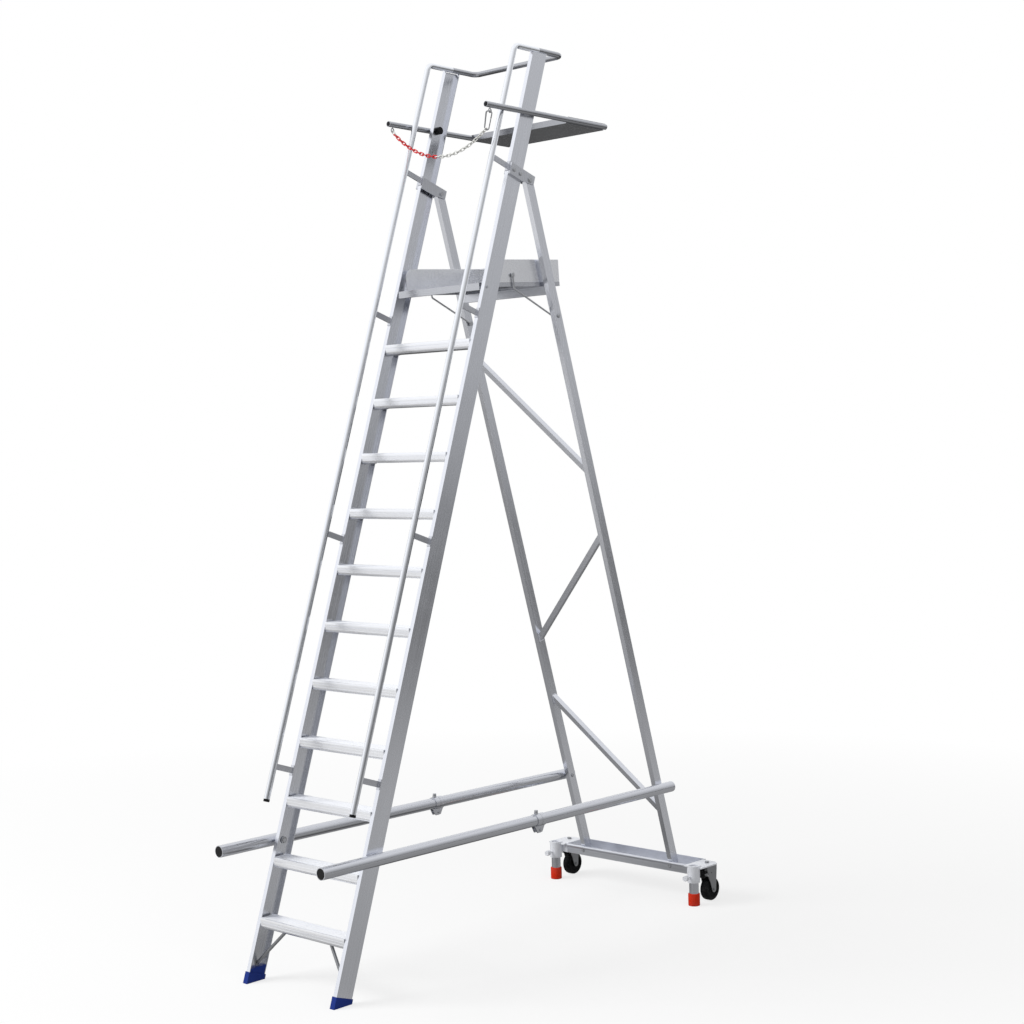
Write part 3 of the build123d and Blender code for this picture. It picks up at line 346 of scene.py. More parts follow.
def plated_steel(name, shade=1.0):
    """Zinc plate with its cloudy crystals."""
    look = bpy.context.scene.ladder_finishes
    material, finish = new_finish(name)
    cells = {"Vector": finish.place(), "Scale": 160.0}
    crystals = finish.node("ShaderNodeTexVoronoi", {"feature": "F1"}, cells, output="Color")
    value = finish.node("ShaderNodeSeparateColor", {"mode": "HSV"}, {0: crystals}, output=2)
    cloud = finish.noise(finish.place(), 40.0, 4.0)
    dull = scaled(look.zinc, 0.82 * shade)
    fresh = scaled(look.zinc, 1.12 * shade)
    colour = finish.tint(value * 0.6 + cloud * 0.4, dull, fresh)
    sheen = 0.30 + value * 0.12 + (cloud - 0.5) * 0.2
    relief = finish.bump(cloud, 0.12, 0.08 * MM)
    finish.surface(Base_Color=colour, Roughness=sheen, Normal=relief, Metallic=1.0)
    return material


def moulded_plastic(name, colour, sheen, grain_scale=1400.0, scuff=0.25):
    """Injection-moulded plastic with a fine spark-eroded grain and pale scuffs."""
    material, finish = new_finish(name)
    grain = finish.noise(finish.place(), grain_scale, 2.0)
    streaks = finish.noise(finish.place(SCUFF_TURN, SCUFF_SIZE), 1.0, 5.0, 0.65)
    scuffs = finish.ramp(streaks, 0.58, 0.78)
    cloud = finish.noise(finish.place(), 22.0, 3.0)
    pale = tuple(channel + (0.45 - channel) * 0.35 for channel in colour)
    tone = finish.tint(cloud, scaled(colour, 0.88), scaled(colour, 1.12))
    worn = finish.tint(scuffs * scuff, tone, pale)
    rough = sheen + (grain - 0.5) * 0.12 + scuffs * 0.15
    relief = finish.bump(grain, 0.18, 0.10 * MM)
    finish.surface(
        Base_Color=worn, Roughness=rough, Normal=relief, Metallic=0.0, Specular_IOR_Level=0.25)
    return material


def rubber(name, colour):
    """Matt moulded rubber, dustier in places."""
    material, finish = new_finish(name)
    grain = finish.noise(finish.place(), 1100.0, 3.0)
    dust = finish.ramp(finish.noise(finish.place(), 30.0, 5.0), 0.45, 0.75)
    grey = tuple(channel + (0.30 - channel) * 0.10 for channel in colour)
    tone = finish.tint(dust, colour, grey)
    rough = 0.62 + dust * 0.14 + (grain - 0.5) * 0.1
    relief = finish.bump(grain, 0.25, 0.15 * MM)
    finish.surface(
        Base_Color=tone, Roughness=rough, Normal=relief, Metallic=0.0, Specular_IOR_Level=0.15)
    return material


FINISHES = {}

# Turns from upright to the direction in which a piece was drawn
UPRIGHT = (0, 0, 0)
ACROSS = (0, pi / 2, 0)
FORE_AND_AFT = (pi / 2, 0, 0)
UP_STILE = (-STILE_LEAN, 0, 0)
UP_LEG = (LEG_LEAN, 0, 0)

# Direction, brightness and polish of each drawn finish. The brightness is painted light and shade: lighter copies
# for treads, toe boards and handrails, darker copies for braces, beam, bars, rails, brackets, deck and tray.
DRAWN = {
    "stile": (UP_STILE, 1.0, 0.07),
    "leg": (UP_LEG, 1.0, 0.07),
    "tread": (ACROSS, 1.2, 0.02),
    "brace": (ACROSS, 0.85, 0.0),
    "beam": (ACROSS, 0.90, -0.06),
    "bar": (FORE_AND_AFT, 0.76, 0.13),
    "handrail": (UP_STILE, 1.12, 0.14),
    "guard": (ACROSS, 0.58, 0.10),
    "waist": (FORE_AND_AFT, 0.55, 0.10),
    "sheet": (ACROSS, 1.16, 0.04),
    "bracket": (UPRIGHT, 0.80, 0.02),
    "deck": (ACROSS, 0.74, 0.06),
    "tray": (ACROSS, 0.52, 0.10),
}


def make_finishes():
    """One material for each finish and direction of drawing."""
    look = bpy.context.scene.ladder_finishes
    for name, drawing in DRAWN.items():
        FINISHES[name] = drawn_aluminium(f"{name}_aluminium", *drawing)
    FINISHES.update({
        "cast": cast_aluminium("cast_aluminium"),
        "zinc": plated_steel("zinc_steel"),
        "dark_zinc": plated_steel("dark_zinc_steel", 0.55),
        "blue": moulded_plastic("blue_plastic", look.foot_blue, 0.42),
        "black": moulded_plastic("black_plastic", look.black, 0.45),
        "tyre": rubber("tyre_rubber", look.black),
        "tip": rubber("red_rubber", look.tip_red),
        "red_link": moulded_plastic("red_link_plastic", look.chain_red, 0.3, 2200.0, 0.1),
        "white_link": moulded_plastic("white_link_plastic", look.chain_white, 0.3, 2200.0, 0.1),
    })


FINISH_OF = {
    "stile": ("stile_left", "stile_right"),
    "leg": ("rear_leg_left", "rear_leg_right"),
    "tread": TREADS,
    "brace": ("brace_upper", "brace_middle", "brace_lower", "cross_tube"),
    "beam": ("base_beam",),
    "bar": ("front_bars", "rear_bars"),
    "handrail": ("handrail_left", "handrail_right"),
    "guard": ("top_rail",),
    "waist": ("mid_rails",),
    "sheet": ("toe_boards",),
    "bracket": (
        "hinge_brackets", "handrail_brackets", "tread_brackets", "foot_tube_left", "foot_tube_right"),
    "deck": ("platform_deck",),
    "tray": ("tool_tray",),
    "cast": ("end_brackets", "lock_screw_left", "lock_screw_right"),
    "zinc": (
        "chain_eyes", "hinge_fasteners", "frame_bolts", "bar_fasteners",
        "platform_stays", "knee_latches"),
    "dark_zinc": (
        "knee_braces", "castor_fork_left", "castor_fork_right", "carabiner", "carabiner_gate"),
    "blue": ("stile_feet",),
    "black": ("rail_caps", "bar_caps", "rail_knobs", "brake_pedal_left", "brake_pedal_right"),
    "tyre": ("castor_wheel_left", "castor_wheel_right"),
    "tip": ("foot_tip_left", "foot_tip_right"),
    "red_link": ("chain_red",),
    "white_link": ("chain_white",),
}


def finish_of(node):
    """The material of a CAD node."""
    return next(FINISHES[name] for name, nodes in FINISH_OF.items() if node in nodes)


# Geometry trees

class Shaper(Graph):
    """A geometry tree with named sizes, which ends in real mesh with its material."""

    def __init__(self, name, sizes):
        super().__init__(bpy.data.node_groups.new(name, "GeometryNodeTree"))
        sockets = self.tree.interface
        sockets.new_socket("Geometry", in_out="OUTPUT", socket_type="NodeSocketGeometry")
        sockets.new_socket("Geometry", in_out="INPUT", socket_type="NodeSocketGeometry")
        for label in sizes:
            sockets.new_socket(label, in_out="INPUT", socket_type="NodeSocketFloat")
        self.source = self.tree.nodes.new("NodeGroupInput")

    def given(self, label):
        """An input of the tree, by its name."""
        return Value(self, self.source.outputs[label])

    def vector(self, x, y, z):
        return self.node("ShaderNodeCombineXYZ", None, {0: x, 1: y, 2: z})

    def moved(self, shape, **change):
        """Transform a shape by its Translation, Rotation or Scale."""
        return self.node("GeometryNodeTransform", None, {"Geometry": shape, **change})

    def together(self, *shapes):
        """Several shapes as one, in the order given."""
        return self.node("GeometryNodeJoinGeometry", None, {"Geometry": list(reversed(shapes))})

    def on_points(self, shape):
        """Stand a shape on each point, by the point's turn and growth."""
        named = {"data_type": "FLOAT_VECTOR"}
        turn = self.node("GeometryNodeInputNamedAttribute", named, {"Name": "turn"})
        growth = self.node("GeometryNodeInputNamedAttribute", named, {"Name": "growth"})
        rotation = self.node("FunctionNodeEulerToRotation", None, {0: turn})
        return self.node("GeometryNodeInstanceOnPoints", None, {
            "Points": self.given("Geometry"), "Instance": shape, "Rotation": rotation, "Scale": growth})

    def close(self, shape, material, smooth):
        """End the tree in real mesh, with its shading and material."""
        whole = self.node("GeometryNodeRealizeInstances", None, {0: shape})
        shading = {"Geometry": whole, "Shade Smooth": smooth}
        shaded = self.node("GeometryNodeSetShadeSmooth", None, shading)
        painted = self.node("GeometryNodeSetMaterial", None, {"Geometry": shaded, "Material": material})
        self.node("NodeGroupOutput", None, {"Geometry": painted})

    def grow(self, piece, **sizes):
        """Run the tree on a piece and keep the result as plain mesh."""
        modifier = piece.modifiers.new("shape", "NODES")
        modifier.node_group = self.tree
        for socket in self.tree.interface.items_tree:
            if socket.in_out == "INPUT" and socket.name in sizes:
                modifier[socket.identifier] = sizes[socket.name]
        settle(piece)


# Mesh helpers

def new_piece(name, mesh):
    """An object of the scene for a mesh."""
    piece = bpy.data.objects.new(name, mesh)
    bpy.context.scene.collection.objects.link(piece)
    return piece


def line_piece(name, loops):
    """A piece of closed lines only."""
    points = []
    edges = []
    for loop in loops:
        first = len(points)
        points += loop
        edges += [(first + step, first + (step + 1) % len(loop)) for step in range(len(loop))]
    mesh = bpy.data.meshes.new(name)
    mesh.from_pydata(points, edges, [])
    return new_piece(name, mesh)


def spot_piece(name, spots):
    """A piece of loose points, each with a turn and a growth for what stands on it."""
    mesh = bpy.data.meshes.new(name)
    mesh.from_pydata([spot[0] for spot in spots], [], [])
    for label, column in (("turn", 1), ("growth", 2)):
        values = mesh.attributes.new(label, "FLOAT_VECTOR", "POINT")
        values.data.foreach_set("vector", [number for spot in spots for number in spot[column]])
    return new_piece(name, mesh)


def settle(piece):
    """Turn a piece's modifiers into plain mesh and remove them."""
    graph = bpy.context.evaluated_depsgraph_get()
    settled = bpy.data.meshes.new_from_object(
        piece.evaluated_get(graph), preserve_all_data_layers=True, depsgraph=graph)
    piece.modifiers.clear()
    piece.data = settled


def paint(piece, material):
    """Give a piece one material."""
    piece.data.materials.clear()
    piece.data.materials.append(material)


def stand_for(piece, *nodes):
    """Let a piece take the place and body of CAD nodes."""
    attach(piece, BODY_OF[nodes[0]])
    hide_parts(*nodes)


def go_with(piece, node):
    """Let an extra piece take the body of a CAD node that stays."""
    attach(piece, BODY_OF[node])


def merged_copy(node):
    """A welded copy of a CAD node's mesh, with flat faces whole."""
    mesh = frame["nodes"][node].data.copy()
    shape = bmesh.new()
    shape.from_mesh(mesh)
    bmesh.ops.remove_doubles(shape, verts=shape.verts, dist=MERGE)
    bmesh.ops.dissolve_limit(shape, angle_limit=FLAT_ANGLE, verts=shape.verts, edges=shape.edges)
    shape.to_mesh(mesh)
    shape.free()
    return mesh


def soften(node, width, segments=2):
    """Stand a copy with rounded edges in a node's place."""
    piece = new_piece(f"{node}_finished", merged_copy(node))
    edges = piece.modifiers.new("edges", "BEVEL")
    edges.width = width
    edges.segments = segments
    edges.limit_method = "ANGLE"
    edges.angle_limit = BEVEL_ANGLE
    flats = piece.modifiers.new("flats", "WEIGHTED_NORMAL")
    flats.weight = 100
    flats.keep_sharp = True
    piece.data.shade_smooth()
    settle(piece)
    paint(piece, finish_of(node))
    stand_for(piece, node)


def islands(node):
    """The separate solids of a CAD node as lists of points, from left to right and upwards."""
    shape = bmesh.new()
    shape.from_mesh(frame["nodes"][node].data)
    bmesh.ops.remove_doubles(shape, verts=shape.verts, dist=MERGE)
    left = dict.fromkeys(shape.verts)
    found = []
    while left:
        reached = [left.popitem()[0]]
        for vert in reached:
            for edge in vert.link_edges:
                other = edge.other_vert(vert)
                if other in left:
                    del left[other]
                    reached.append(other)
        found.append([vert.co.copy() for vert in reached])
    shape.free()
    return sorted(found, key=lambda points: tuple(round(value, 4) for value in middle(points)))


def middle(points):
    """Centre of the box round some points."""
    low, high = corners(points)
    return (low + high) / 2


def corners(points):
    """Lowest and highest corner of the box round some points."""
    low = Vector(min(point[axis] for point in points) for axis in range(3))
    high = Vector(max(point[axis] for point in points) for axis in range(3))
    return low, high


def turned(name, profile, centre, axis, steps):
    """A turned part from (radius, place on the axis) pairs.

    They start and end on the axis, or close a ring round it."""
    axis = Vector(axis)
    across = axis.orthogonal().normalized()
    beside = axis.cross(across)
    on_axis = profile[0][0] == 0
    shape = bmesh.new()
    rings = []
    for radius, height in profile:
        count = 1 if radius == 0 else steps
        angles = [2 * pi * step / steps for step in range(count)]
        spokes = [cos(angle) * across + sin(angle) * beside for angle in angles]
        place = Vector(centre) + axis * height
        rings.append([shape.verts.new(place + radius * spoke) for spoke in spokes])
    for lower, upper in zip(rings, rings[1:] if on_axis else rings[1:] + rings[:1]):
        for step in range(steps):
            follow = (step + 1) % steps
            quad = [lower[step % len(lower)], lower[follow % len(lower)],
                    upper[follow % len(upper)], upper[step % len(upper)]]
            shape.faces.new(list(dict.fromkeys(quad)))
    bmesh.ops.recalc_face_normals(shape, faces=shape.faces)
    mesh = bpy.data.meshes.new(name)
    shape.to_mesh(mesh)
    shape.free()
    mesh.shade_smooth()
    mesh.set_sharp_from_angle(angle=TURNED_CREASE)
    return new_piece(name, mesh)


def facing_turn(direction):
    """Turn that points a part's Z axis in a direction."""
    return Vector(direction).to_track_quat("Z", "Y").to_euler()


# Operators

class LADDER_OT_finishes(bpy.types.Operator):
    """Give every CAD node its material"""

    bl_idname = "ladder.finishes"
    bl_label = "Finishes"

    def execute(self, context):
        make_finishes()
        for name, node in frame["nodes"].items():
            paint(node, finish_of(name))
        return {"FINISHED"}


CUT_EDGED = (
    "stile_left", "stile_right", "rear_leg_left", "rear_leg_right",
    "brace_upper", "brace_middle", "brace_lower", "cross_tube",
    "end_brackets", "hinge_brackets", "handrail_brackets",
    "toe_boards", "platform_deck", "tool_tray", "tread_brackets", "foot_tube_left", "foot_tube_right",
    "castor_fork_left", "castor_fork_right", "lock_screw_left", "lock_screw_right", "knee_latches",
    "front_bars", "rear_bars")
MOULDED = ("stile_feet", "rail_knobs", "brake_pedal_left", "brake_pedal_right")


class LADDER_OT_extrusions(bpy.types.Operator):
    """Round the edges of extrusions, sheet parts and mouldings"""

    bl_idname = "ladder.extrusions"
    bl_label = "Extrusions and mouldings"

    def execute(self, context):
        sizes = context.scene.ladder_sizes
        for node in CUT_EDGED:
            soften(node, sizes.edge)
        for node in MOULDED:
            soften(node, sizes.moulded_edge, 3)
        return {"FINISHED"}


# A rib's section: millimetres beside its centre, and share of its height
RIB_STEPS = ((1.9, 0), (1.5, 0.75), (0.8, 1), (-0.8, 1), (-1.5, 0.75), (-1.9, 0))

# Shares of a tread's height at which its front is grooved
GROOVE_LEVELS = (0.62, 0.34)


def tread_outline(depth, height, rib, pitch):
    """Section of a tread: grooved front with a cut lower edge, ribbed top, rounded corners."""
    base = height - rib
    round_off = 2.5 * MM
    nick = 0.7 * MM
    cut_back = 6.0 * MM
    cut_rise = 9.0 * MM
    groove = 0.9 * MM
    groove_mouth = 1.8 * MM
    points = [(cut_back, 0), (depth - round_off, 0), (depth, round_off), (depth, base - round_off),
              (depth - nick, base - nick), (depth - round_off, base)]
    count = int((depth - 2 * round_off) // pitch)
    for number in reversed(range(count)):
        centre = depth / 2 + (number - (count - 1) / 2) * pitch
        points += [(centre + beside * MM, base + share * rib) for beside, share in RIB_STEPS]
    points += [(round_off, base), (nick, base - nick), (0, base - round_off)]
    for share in GROOVE_LEVELS:
        level = height * share
        points += [(0, level + groove_mouth), (groove, level + groove),
                   (groove, level - groove), (0, level - groove_mouth)]
    points.append((0, cut_rise))
    return [(along, upward, 0) for along, upward in points]


def extruded(name, outline, nodes):
    """Extrude an outline across the ladder in the place of one node, or of a flight of like nodes."""
    low, high = (Vector(corner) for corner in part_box(nodes[0]))
    climb = (Vector(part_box(nodes[-1])[0]) - low) / max(1, len(nodes) - 1)
    section = Shaper(f"extruded {name}", ("Length", "Rise", "Setback", "Count"))
    face = section.node("GeometryNodeFillCurve", None, {
        "Curve": section.node("GeometryNodeMeshToCurve", None, {"Mesh": section.given("Geometry")})})
    body = section.node("GeometryNodeExtrudeMesh", {"mode": "FACES"}, {
        "Mesh": face, "Offset Scale": section.given("Length"), "Individual": False})
    back = section.node("GeometryNodeFlipFaces", None, {"Mesh": face})
    bar = section.node("GeometryNodeMergeByDistance", None, {"Geometry": section.together(body, back)})
    bar = section.moved(bar, Rotation=(pi / 2, 0, pi / 2))
    step = section.vector(0.0, section.given("Setback"), section.given("Rise"))
    flight = section.node("GeometryNodeMeshLine", None, {
        "Count": section.given("Count"), "Offset": step})
    bars = section.node("GeometryNodeInstanceOnPoints", None, {"Points": flight, "Instance": bar})
    section.close(section.moved(bars, Translation=tuple(low)), finish_of(nodes[0]), False)
    piece = line_piece(name, [outline])
    section.grow(piece, Length=high.x - low.x, Rise=climb.z, Setback=climb.y, Count=float(len(nodes)))
    piece.data.shade_smooth()
    piece.data.set_sharp_from_angle(angle=EXTRUDED_CREASE)
    stand_for(piece, *nodes)


class LADDER_OT_treads(bpy.types.Operator):
    """Extrude the ribbed treads"""

    bl_idname = "ladder.treads"
    bl_label = "Treads"

    def execute(self, context):
        sizes = context.scene.ladder_sizes
        low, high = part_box(TREADS[0])
        outline = tread_outline(high[1] - low[1], high[2] - low[2], sizes.rib_height, sizes.rib_pitch)
        extruded("treads_ribbed", outline, TREADS)
        return {"FINISHED"}


def beam_outline(depth, height, wall, bead):
    """Section of the base beam: an open channel with a rolled bead along the front."""
    lip = 1.0 * MM
    points = [(lip, 0), (depth - lip, 0), (depth, lip), (depth, height - lip), (depth - lip, height),
              (depth - wall + lip, height), (depth - wall, height - lip), (depth - wall, wall + lip),
              (depth - wall - lip, wall), (wall + lip, wall), (wall, wall + lip)]
    roll = 1.55 * pi
    steps = 16
    for step in range(steps + 1):
        angle = roll * step / steps
        points.append((wall - bead + bead * cos(angle), height - bead + bead * sin(angle)))
    crease = height - 2.4 * bead
    points += [(0, crease), (0, lip)]
    return [(along, upward, 0) for along, upward in points]


class LADDER_OT_beam(bpy.types.Operator):
    """Extrude the base beam"""

    bl_idname = "ladder.beam"
    bl_label = "Base beam"

    def execute(self, context):
        sizes = context.scene.ladder_sizes
        low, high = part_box("base_beam")
        outline = beam_outline(high[1] - low[1], high[2] - low[2], sizes.beam_wall, sizes.beam_bead)
        extruded("base_beam_beaded", outline, ["base_beam"])
        return {"FINISHED"}


def head_spots(node, height):
    """Places for hexagon heads over the plain heads of a fastener node."""
    slack = 0.5 * MM
    overlap = 0.25 * MM
    leg_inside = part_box("rear_leg_right")[0][0] + slack
    spots = []
    for points in islands(node):
        low, high = corners(points)
        centre = (low + high) / 2
        size = high - low
        if size.y < size.z / 2:
            direction = Vector((0, -1, 0))
        else:
            outward = 1 if centre.x > 0 else -1
            inside = max(abs(low.x), abs(high.x)) < leg_inside
            direction = Vector((-outward if inside else outward, 0, 0))
        reach = max(direction.dot(point - centre) for point in points)
        across = size.z / 2 + overlap
        base = centre + direction * (reach - height + slack)
        spots.append((base, facing_turn(direction), (across, across, height)))
    return spots


# Shares of a bolt head's height and width
FLANK_SHARE = 0.82
WASHER_SHARE = 0.24
CROWN_SHARE = 0.84
WASHER_WIDTH = 1.45


class LADDER_OT_fasteners(bpy.types.Operator):
    """Hexagon heads with washers on the bolts"""

    bl_idname = "ladder.fasteners"
    bl_label = "Fasteners"

    def execute(self, context):
        height = context.scene.ladder_sizes.head_height
        for node in ("hinge_fasteners", "frame_bolts", "bar_fasteners"):
            hexagon = Shaper(f"hexagon heads {node}", ("Corner", "Washer"))
            corner = hexagon.given("Corner")
            shank = hexagon.node("GeometryNodeMeshCylinder", None, {
                "Vertices": 6, "Radius": corner, "Depth": FLANK_SHARE})
            crown = hexagon.node("GeometryNodeMeshCone", None, {
                "Vertices": 6, "Radius Top": corner * CROWN_SHARE, "Radius Bottom": corner,
                "Depth": 1 - FLANK_SHARE})
            washer = hexagon.node("GeometryNodeMeshCylinder", None, {
                "Vertices": 32, "Radius": hexagon.given("Washer"), "Depth": WASHER_SHARE})
            head = hexagon.together(
                hexagon.moved(shank, Translation=(0, 0, FLANK_SHARE / 2)),
                hexagon.moved(crown, Translation=(0, 0, FLANK_SHARE)),
                hexagon.moved(washer, Translation=(0, 0, WASHER_SHARE / 2)))
            hexagon.close(hexagon.on_points(head), FINISHES["zinc"], False)
            piece = spot_piece(f"{node}_heads", head_spots(node, height))
            hexagon.grow(piece, Corner=1 / cos(pi / 6), Washer=WASHER_WIDTH)
            go_with(piece, node)
        return {"FINISHED"}


def tube_end(node, sign):
    """Outer corners of a tube's left or right end, in order round it."""
    rim_depth = 0.3 * MM
    outer_share = 0.97
    points = islands(node)[0]
    reach = max(sign * point.x for point in points)
    rim = [point for point in points if sign * point.x > reach - rim_depth]
    centre = middle(rim)
    far = max((point - centre).length for point in rim)
    outer = [point for point in rim if (point - centre).length > outer_share * far]
    return sorted(outer, key=lambda point: atan2(point.z - centre.z, point.y - centre.y))


class LADDER_OT_welds(bpy.types.Operator):
    """Rippled weld beads at the ends of the braces and of the cross tube"""

    bl_idname = "ladder.welds"
    bl_label = "Welds"

    def execute(self, context):
        sizes = context.scene.ladder_sizes
        bead = Shaper("weld beads", ("Radius", "Pitch"))
        path = bead.node("GeometryNodeMeshToCurve", None, {"Mesh": bead.given("Geometry")})
        ripples = bead.node("GeometryNodeResampleCurve", {"mode": "LENGTH"}, {
            "Curve": path, "Length": bead.given("Pitch")})
        drop = bead.node("GeometryNodeMeshIcoSphere", None, {
            "Radius": bead.given("Radius"), "Subdivisions": 2})
        growth = bead.node("FunctionNodeRandomValue", {"data_type": "FLOAT"}, {
            "Min": 0.82, "Max": 1.12, "Seed": 7}, output=1)
        row = bead.node("GeometryNodeInstanceOnPoints", None, {
            "Points": ripples, "Instance": drop, "Scale": growth})
        bead.close(row, FINISHES["cast"], True)
        tubes = ("brace_upper", "brace_middle", "brace_lower", "cross_tube")
        piece = line_piece("frame_welds", [tube_end(node, sign) for node in tubes for sign in (-1, 1)])
        bead.grow(piece, Radius=sizes.bead, Pitch=sizes.bead_pitch)
        go_with(piece, "cross_tube")
        return {"FINISHED"}


def principal_axes(spread):
    """Directions of a cloud of points as columns, from its thinnest to its longest."""
    return numpy.linalg.eigh(numpy.cov((spread - spread.mean(axis=0)).T))[1]


def link_spots(node):
    """Place and turn of each chain link, from its solid."""
    spots = []
    for points in islands(node):
        spread = numpy.array(points)
        axes = principal_axes(spread)
        along = Vector(axes[:, 2])
        facing = Vector(axes[:, 0])
        turn = Matrix((along, facing.cross(along), facing)).transposed().to_euler()
        spots.append((Vector(spread.mean(axis=0)), turn, (1, 1, 1)))
    return spots


class LADDER_OT_chain(bpy.types.Operator):
    """Round links of the safety chain"""

    bl_idname = "ladder.chain"
    bl_label = "Safety chain"

    def execute(self, context):
        sizes = context.scene.ladder_sizes
        end_round = 0.499
        for node, finish in (("chain_red", "red_link"), ("chain_white", "white_link")):
            link = Shaper(f"links {node}", ("Length", "Width", "Wire"))
            width = link.given("Width")
            outline = link.node("GeometryNodeCurvePrimitiveQuadrilateral", {"mode": "RECTANGLE"}, {
                "Width": link.given("Length"), "Height": width})
            loop = link.node("GeometryNodeFilletCurve", {"mode": "POLY"}, {
                "Curve": outline, "Count": 7, "Radius": width * end_round, "Limit Radius": True})
            wire = link.node("GeometryNodeCurvePrimitiveCircle", None, {
                "Resolution": 12, "Radius": link.given("Wire")})
            ring = link.node("GeometryNodeCurveToMesh", None, {"Curve": loop, "Profile Curve": wire})
            link.close(link.on_points(ring), FINISHES[finish], True)
            piece = spot_piece(f"{node}_links", link_spots(node))
            link.grow(piece, Length=sizes.link_length, Width=sizes.link_width, Wire=sizes.link_wire)
            stand_for(piece, node)
        return {"FINISHED"}


def widened(node, gate_joint, width):
    """A copy of the snap hook with its back bowed out, mostly at the top."""
    mesh = merged_copy(node)
    spread = numpy.array([vert.co for vert in mesh.vertices])
    centre = (spread.min(axis=0) + spread.max(axis=0)) / 2
    axes = principal_axes(spread)
    along = axes[:, 2] * numpy.sign(axes[2, 2])
    gate = numpy.array(JOINT[gate_joint]["pos_m"]) - centre
    across = axes[:, 1] * -numpy.sign(gate @ axes[:, 1])
    height = (spread - centre) @ along
    side = (spread - centre) @ across
    backward = numpy.clip(side / side.max() * 0.6 + 0.4, 0, 1)
    upward = 0.6 + 0.4 * height / height.max()
    moved = spread + numpy.outer(backward * upward * width, across)
    mesh.vertices.foreach_set("co", moved.ravel())
    mesh.shade_smooth()
    return new_piece(f"{node}_wide", mesh)


class LADDER_OT_hook(bpy.types.Operator):
    """Pear-shaped snap hook of the chain"""

    bl_idname = "ladder.hook"
    bl_label = "Snap hook"

    def execute(self, context):
        hook = widened("carabiner", "gate_swing", context.scene.ladder_sizes.hook_bow)
        paint(hook, finish_of("carabiner"))
        stand_for(hook, "carabiner")
        return {"FINISHED"}


# Turned profiles in millimetres: radius, and place on the axis
CUFF_PROFILE = [
    (0, -5.0), (11.0, -5.0), (12.6, -4.2), (13.2, -2.6), (13.2, 6.0), (12.7, 6.6), (11.8, 6.6),
    (11.8, -0.8), (0, -0.8)]
TYRE_HALF = [
    (6.4, 21.0), (15.2, 21.0), (16.0, 20.2), (16.8, 15.0), (18.0, 14.0), (36.4, 14.0), (37.4, 14.8),
    (38.4, 20.0), (39.4, 20.9), (45.0, 21.0), (49.4, 20.0), (52.6, 17.6), (54.4, 14.4), (54.9, 11.0),
    (55.0, 8.6), (54.2, 8.2), (54.2, 7.0), (55.0, 6.6)]
HUB_HALF = [(6.05, 22.4), (9.8, 22.4), (11.6, 21.8), (11.6, 16.0)]
TIP_PROFILE = [
    (0, 1.2), (9, 1.2), (10, 0), (14, 0), (15, 1.2), (18, 1.2), (19, 0), (25.2, 0), (27.2, 0.9),
    (28.0, 2.8), (28.0, 12.0), (27.0, 12.6), (27.0, 14.2), (28.0, 14.8), (28.0, 18.5), (27.0, 19.1),
    (27.0, 20.7), (28.0, 21.3), (28.0, 54.6), (27.4, 56.8), (25.8, 58.0), (22.7, 58.0), (22.7, 8.2),
    (0, 8.2)]

# Height in metres below which a rail cap sits in a handrail's lower end
LOWER_ENDS = 1.5


def in_metres(profile):
    """A profile in metres."""
    return [(radius * MM, height * MM) for radius, height in profile]


def mirrored_profile(half):
    """A profile and its reflection about the middle of the axis."""
    return half + [(radius, -height) for radius, height in reversed(half)]


class LADDER_OT_cuffs(bpy.types.Operator):
    """Plastic cuffs on the lower ends of the handrails"""

    bl_idname = "ladder.cuffs"
    bl_label = "Handrail cuffs"

    def execute(self, context):
        steps = context.scene.ladder_sizes.turning_steps
        axis = Vector((0, sin(STILE_LEAN), cos(STILE_LEAN)))
        profile = in_metres(CUFF_PROFILE)
        low_caps = [points for points in islands("rail_caps") if middle(points).z < LOWER_ENDS]
        for points, side in zip(low_caps, SIDES):
            centre = middle(points)
            reach = max(axis.dot(centre - point) for point in points)
            cuff = turned(f"handrail_cuff_{side}", profile, centre - axis * reach, axis, steps)
            paint(cuff, FINISHES["black"])
            go_with(cuff, "rail_caps")
        return {"FINISHED"}


class LADDER_OT_castors(bpy.types.Operator):
    """Turned castor tyres and hubs"""

    bl_idname = "ladder.castors"
    bl_label = "Castor wheels"

    def execute(self, context):
        steps = context.scene.ladder_sizes.turning_steps
        axle = (1, 0, 0)
        tyre_profile = in_metres(mirrored_profile(TYRE_HALF))
        hub_profile = in_metres(mirrored_profile(HUB_HALF))
        for side in SIDES:
            centre = JOINT[f"wheel_spin_{side}"]["pos_m"]
            node = f"castor_wheel_{side}"
            tyre = turned(f"{node}_tyre", tyre_profile, centre, axle, steps)
            paint(tyre, FINISHES["tyre"])
            stand_for(tyre, node)
            hub = turned(f"{node}_hub", hub_profile, centre, axle, steps)
            paint(hub, FINISHES["zinc"])
            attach(hub, BODY_OF[node])
        return {"FINISHED"}


class LADDER_OT_tips(bpy.types.Operator):
    """Turned rubber tips of the rear feet"""

    bl_idname = "ladder.tips"
    bl_label = "Rubber tips"

    def execute(self, context):
        steps = context.scene.ladder_sizes.turning_steps
        for side in SIDES:
            node = f"foot_tip_{side}"
            low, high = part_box(node)
            centre = ((low[0] + high[0]) / 2, (low[1] + high[1]) / 2, low[2])
            tip = turned(f"{node}_ringed", in_metres(TIP_PROFILE), centre, (0, 0, 1), steps)
            paint(tip, FINISHES["tip"])
            stand_for(tip, node)
        return {"FINISHED"}


# Stage

WHITE = (1, 1, 1, 1)


def aim(place, target):
    """Turn of a lamp at a place so that it shines at a target."""
    return (Vector(target) - Vector(place)).to_track_quat("-Z", "Y").to_euler()


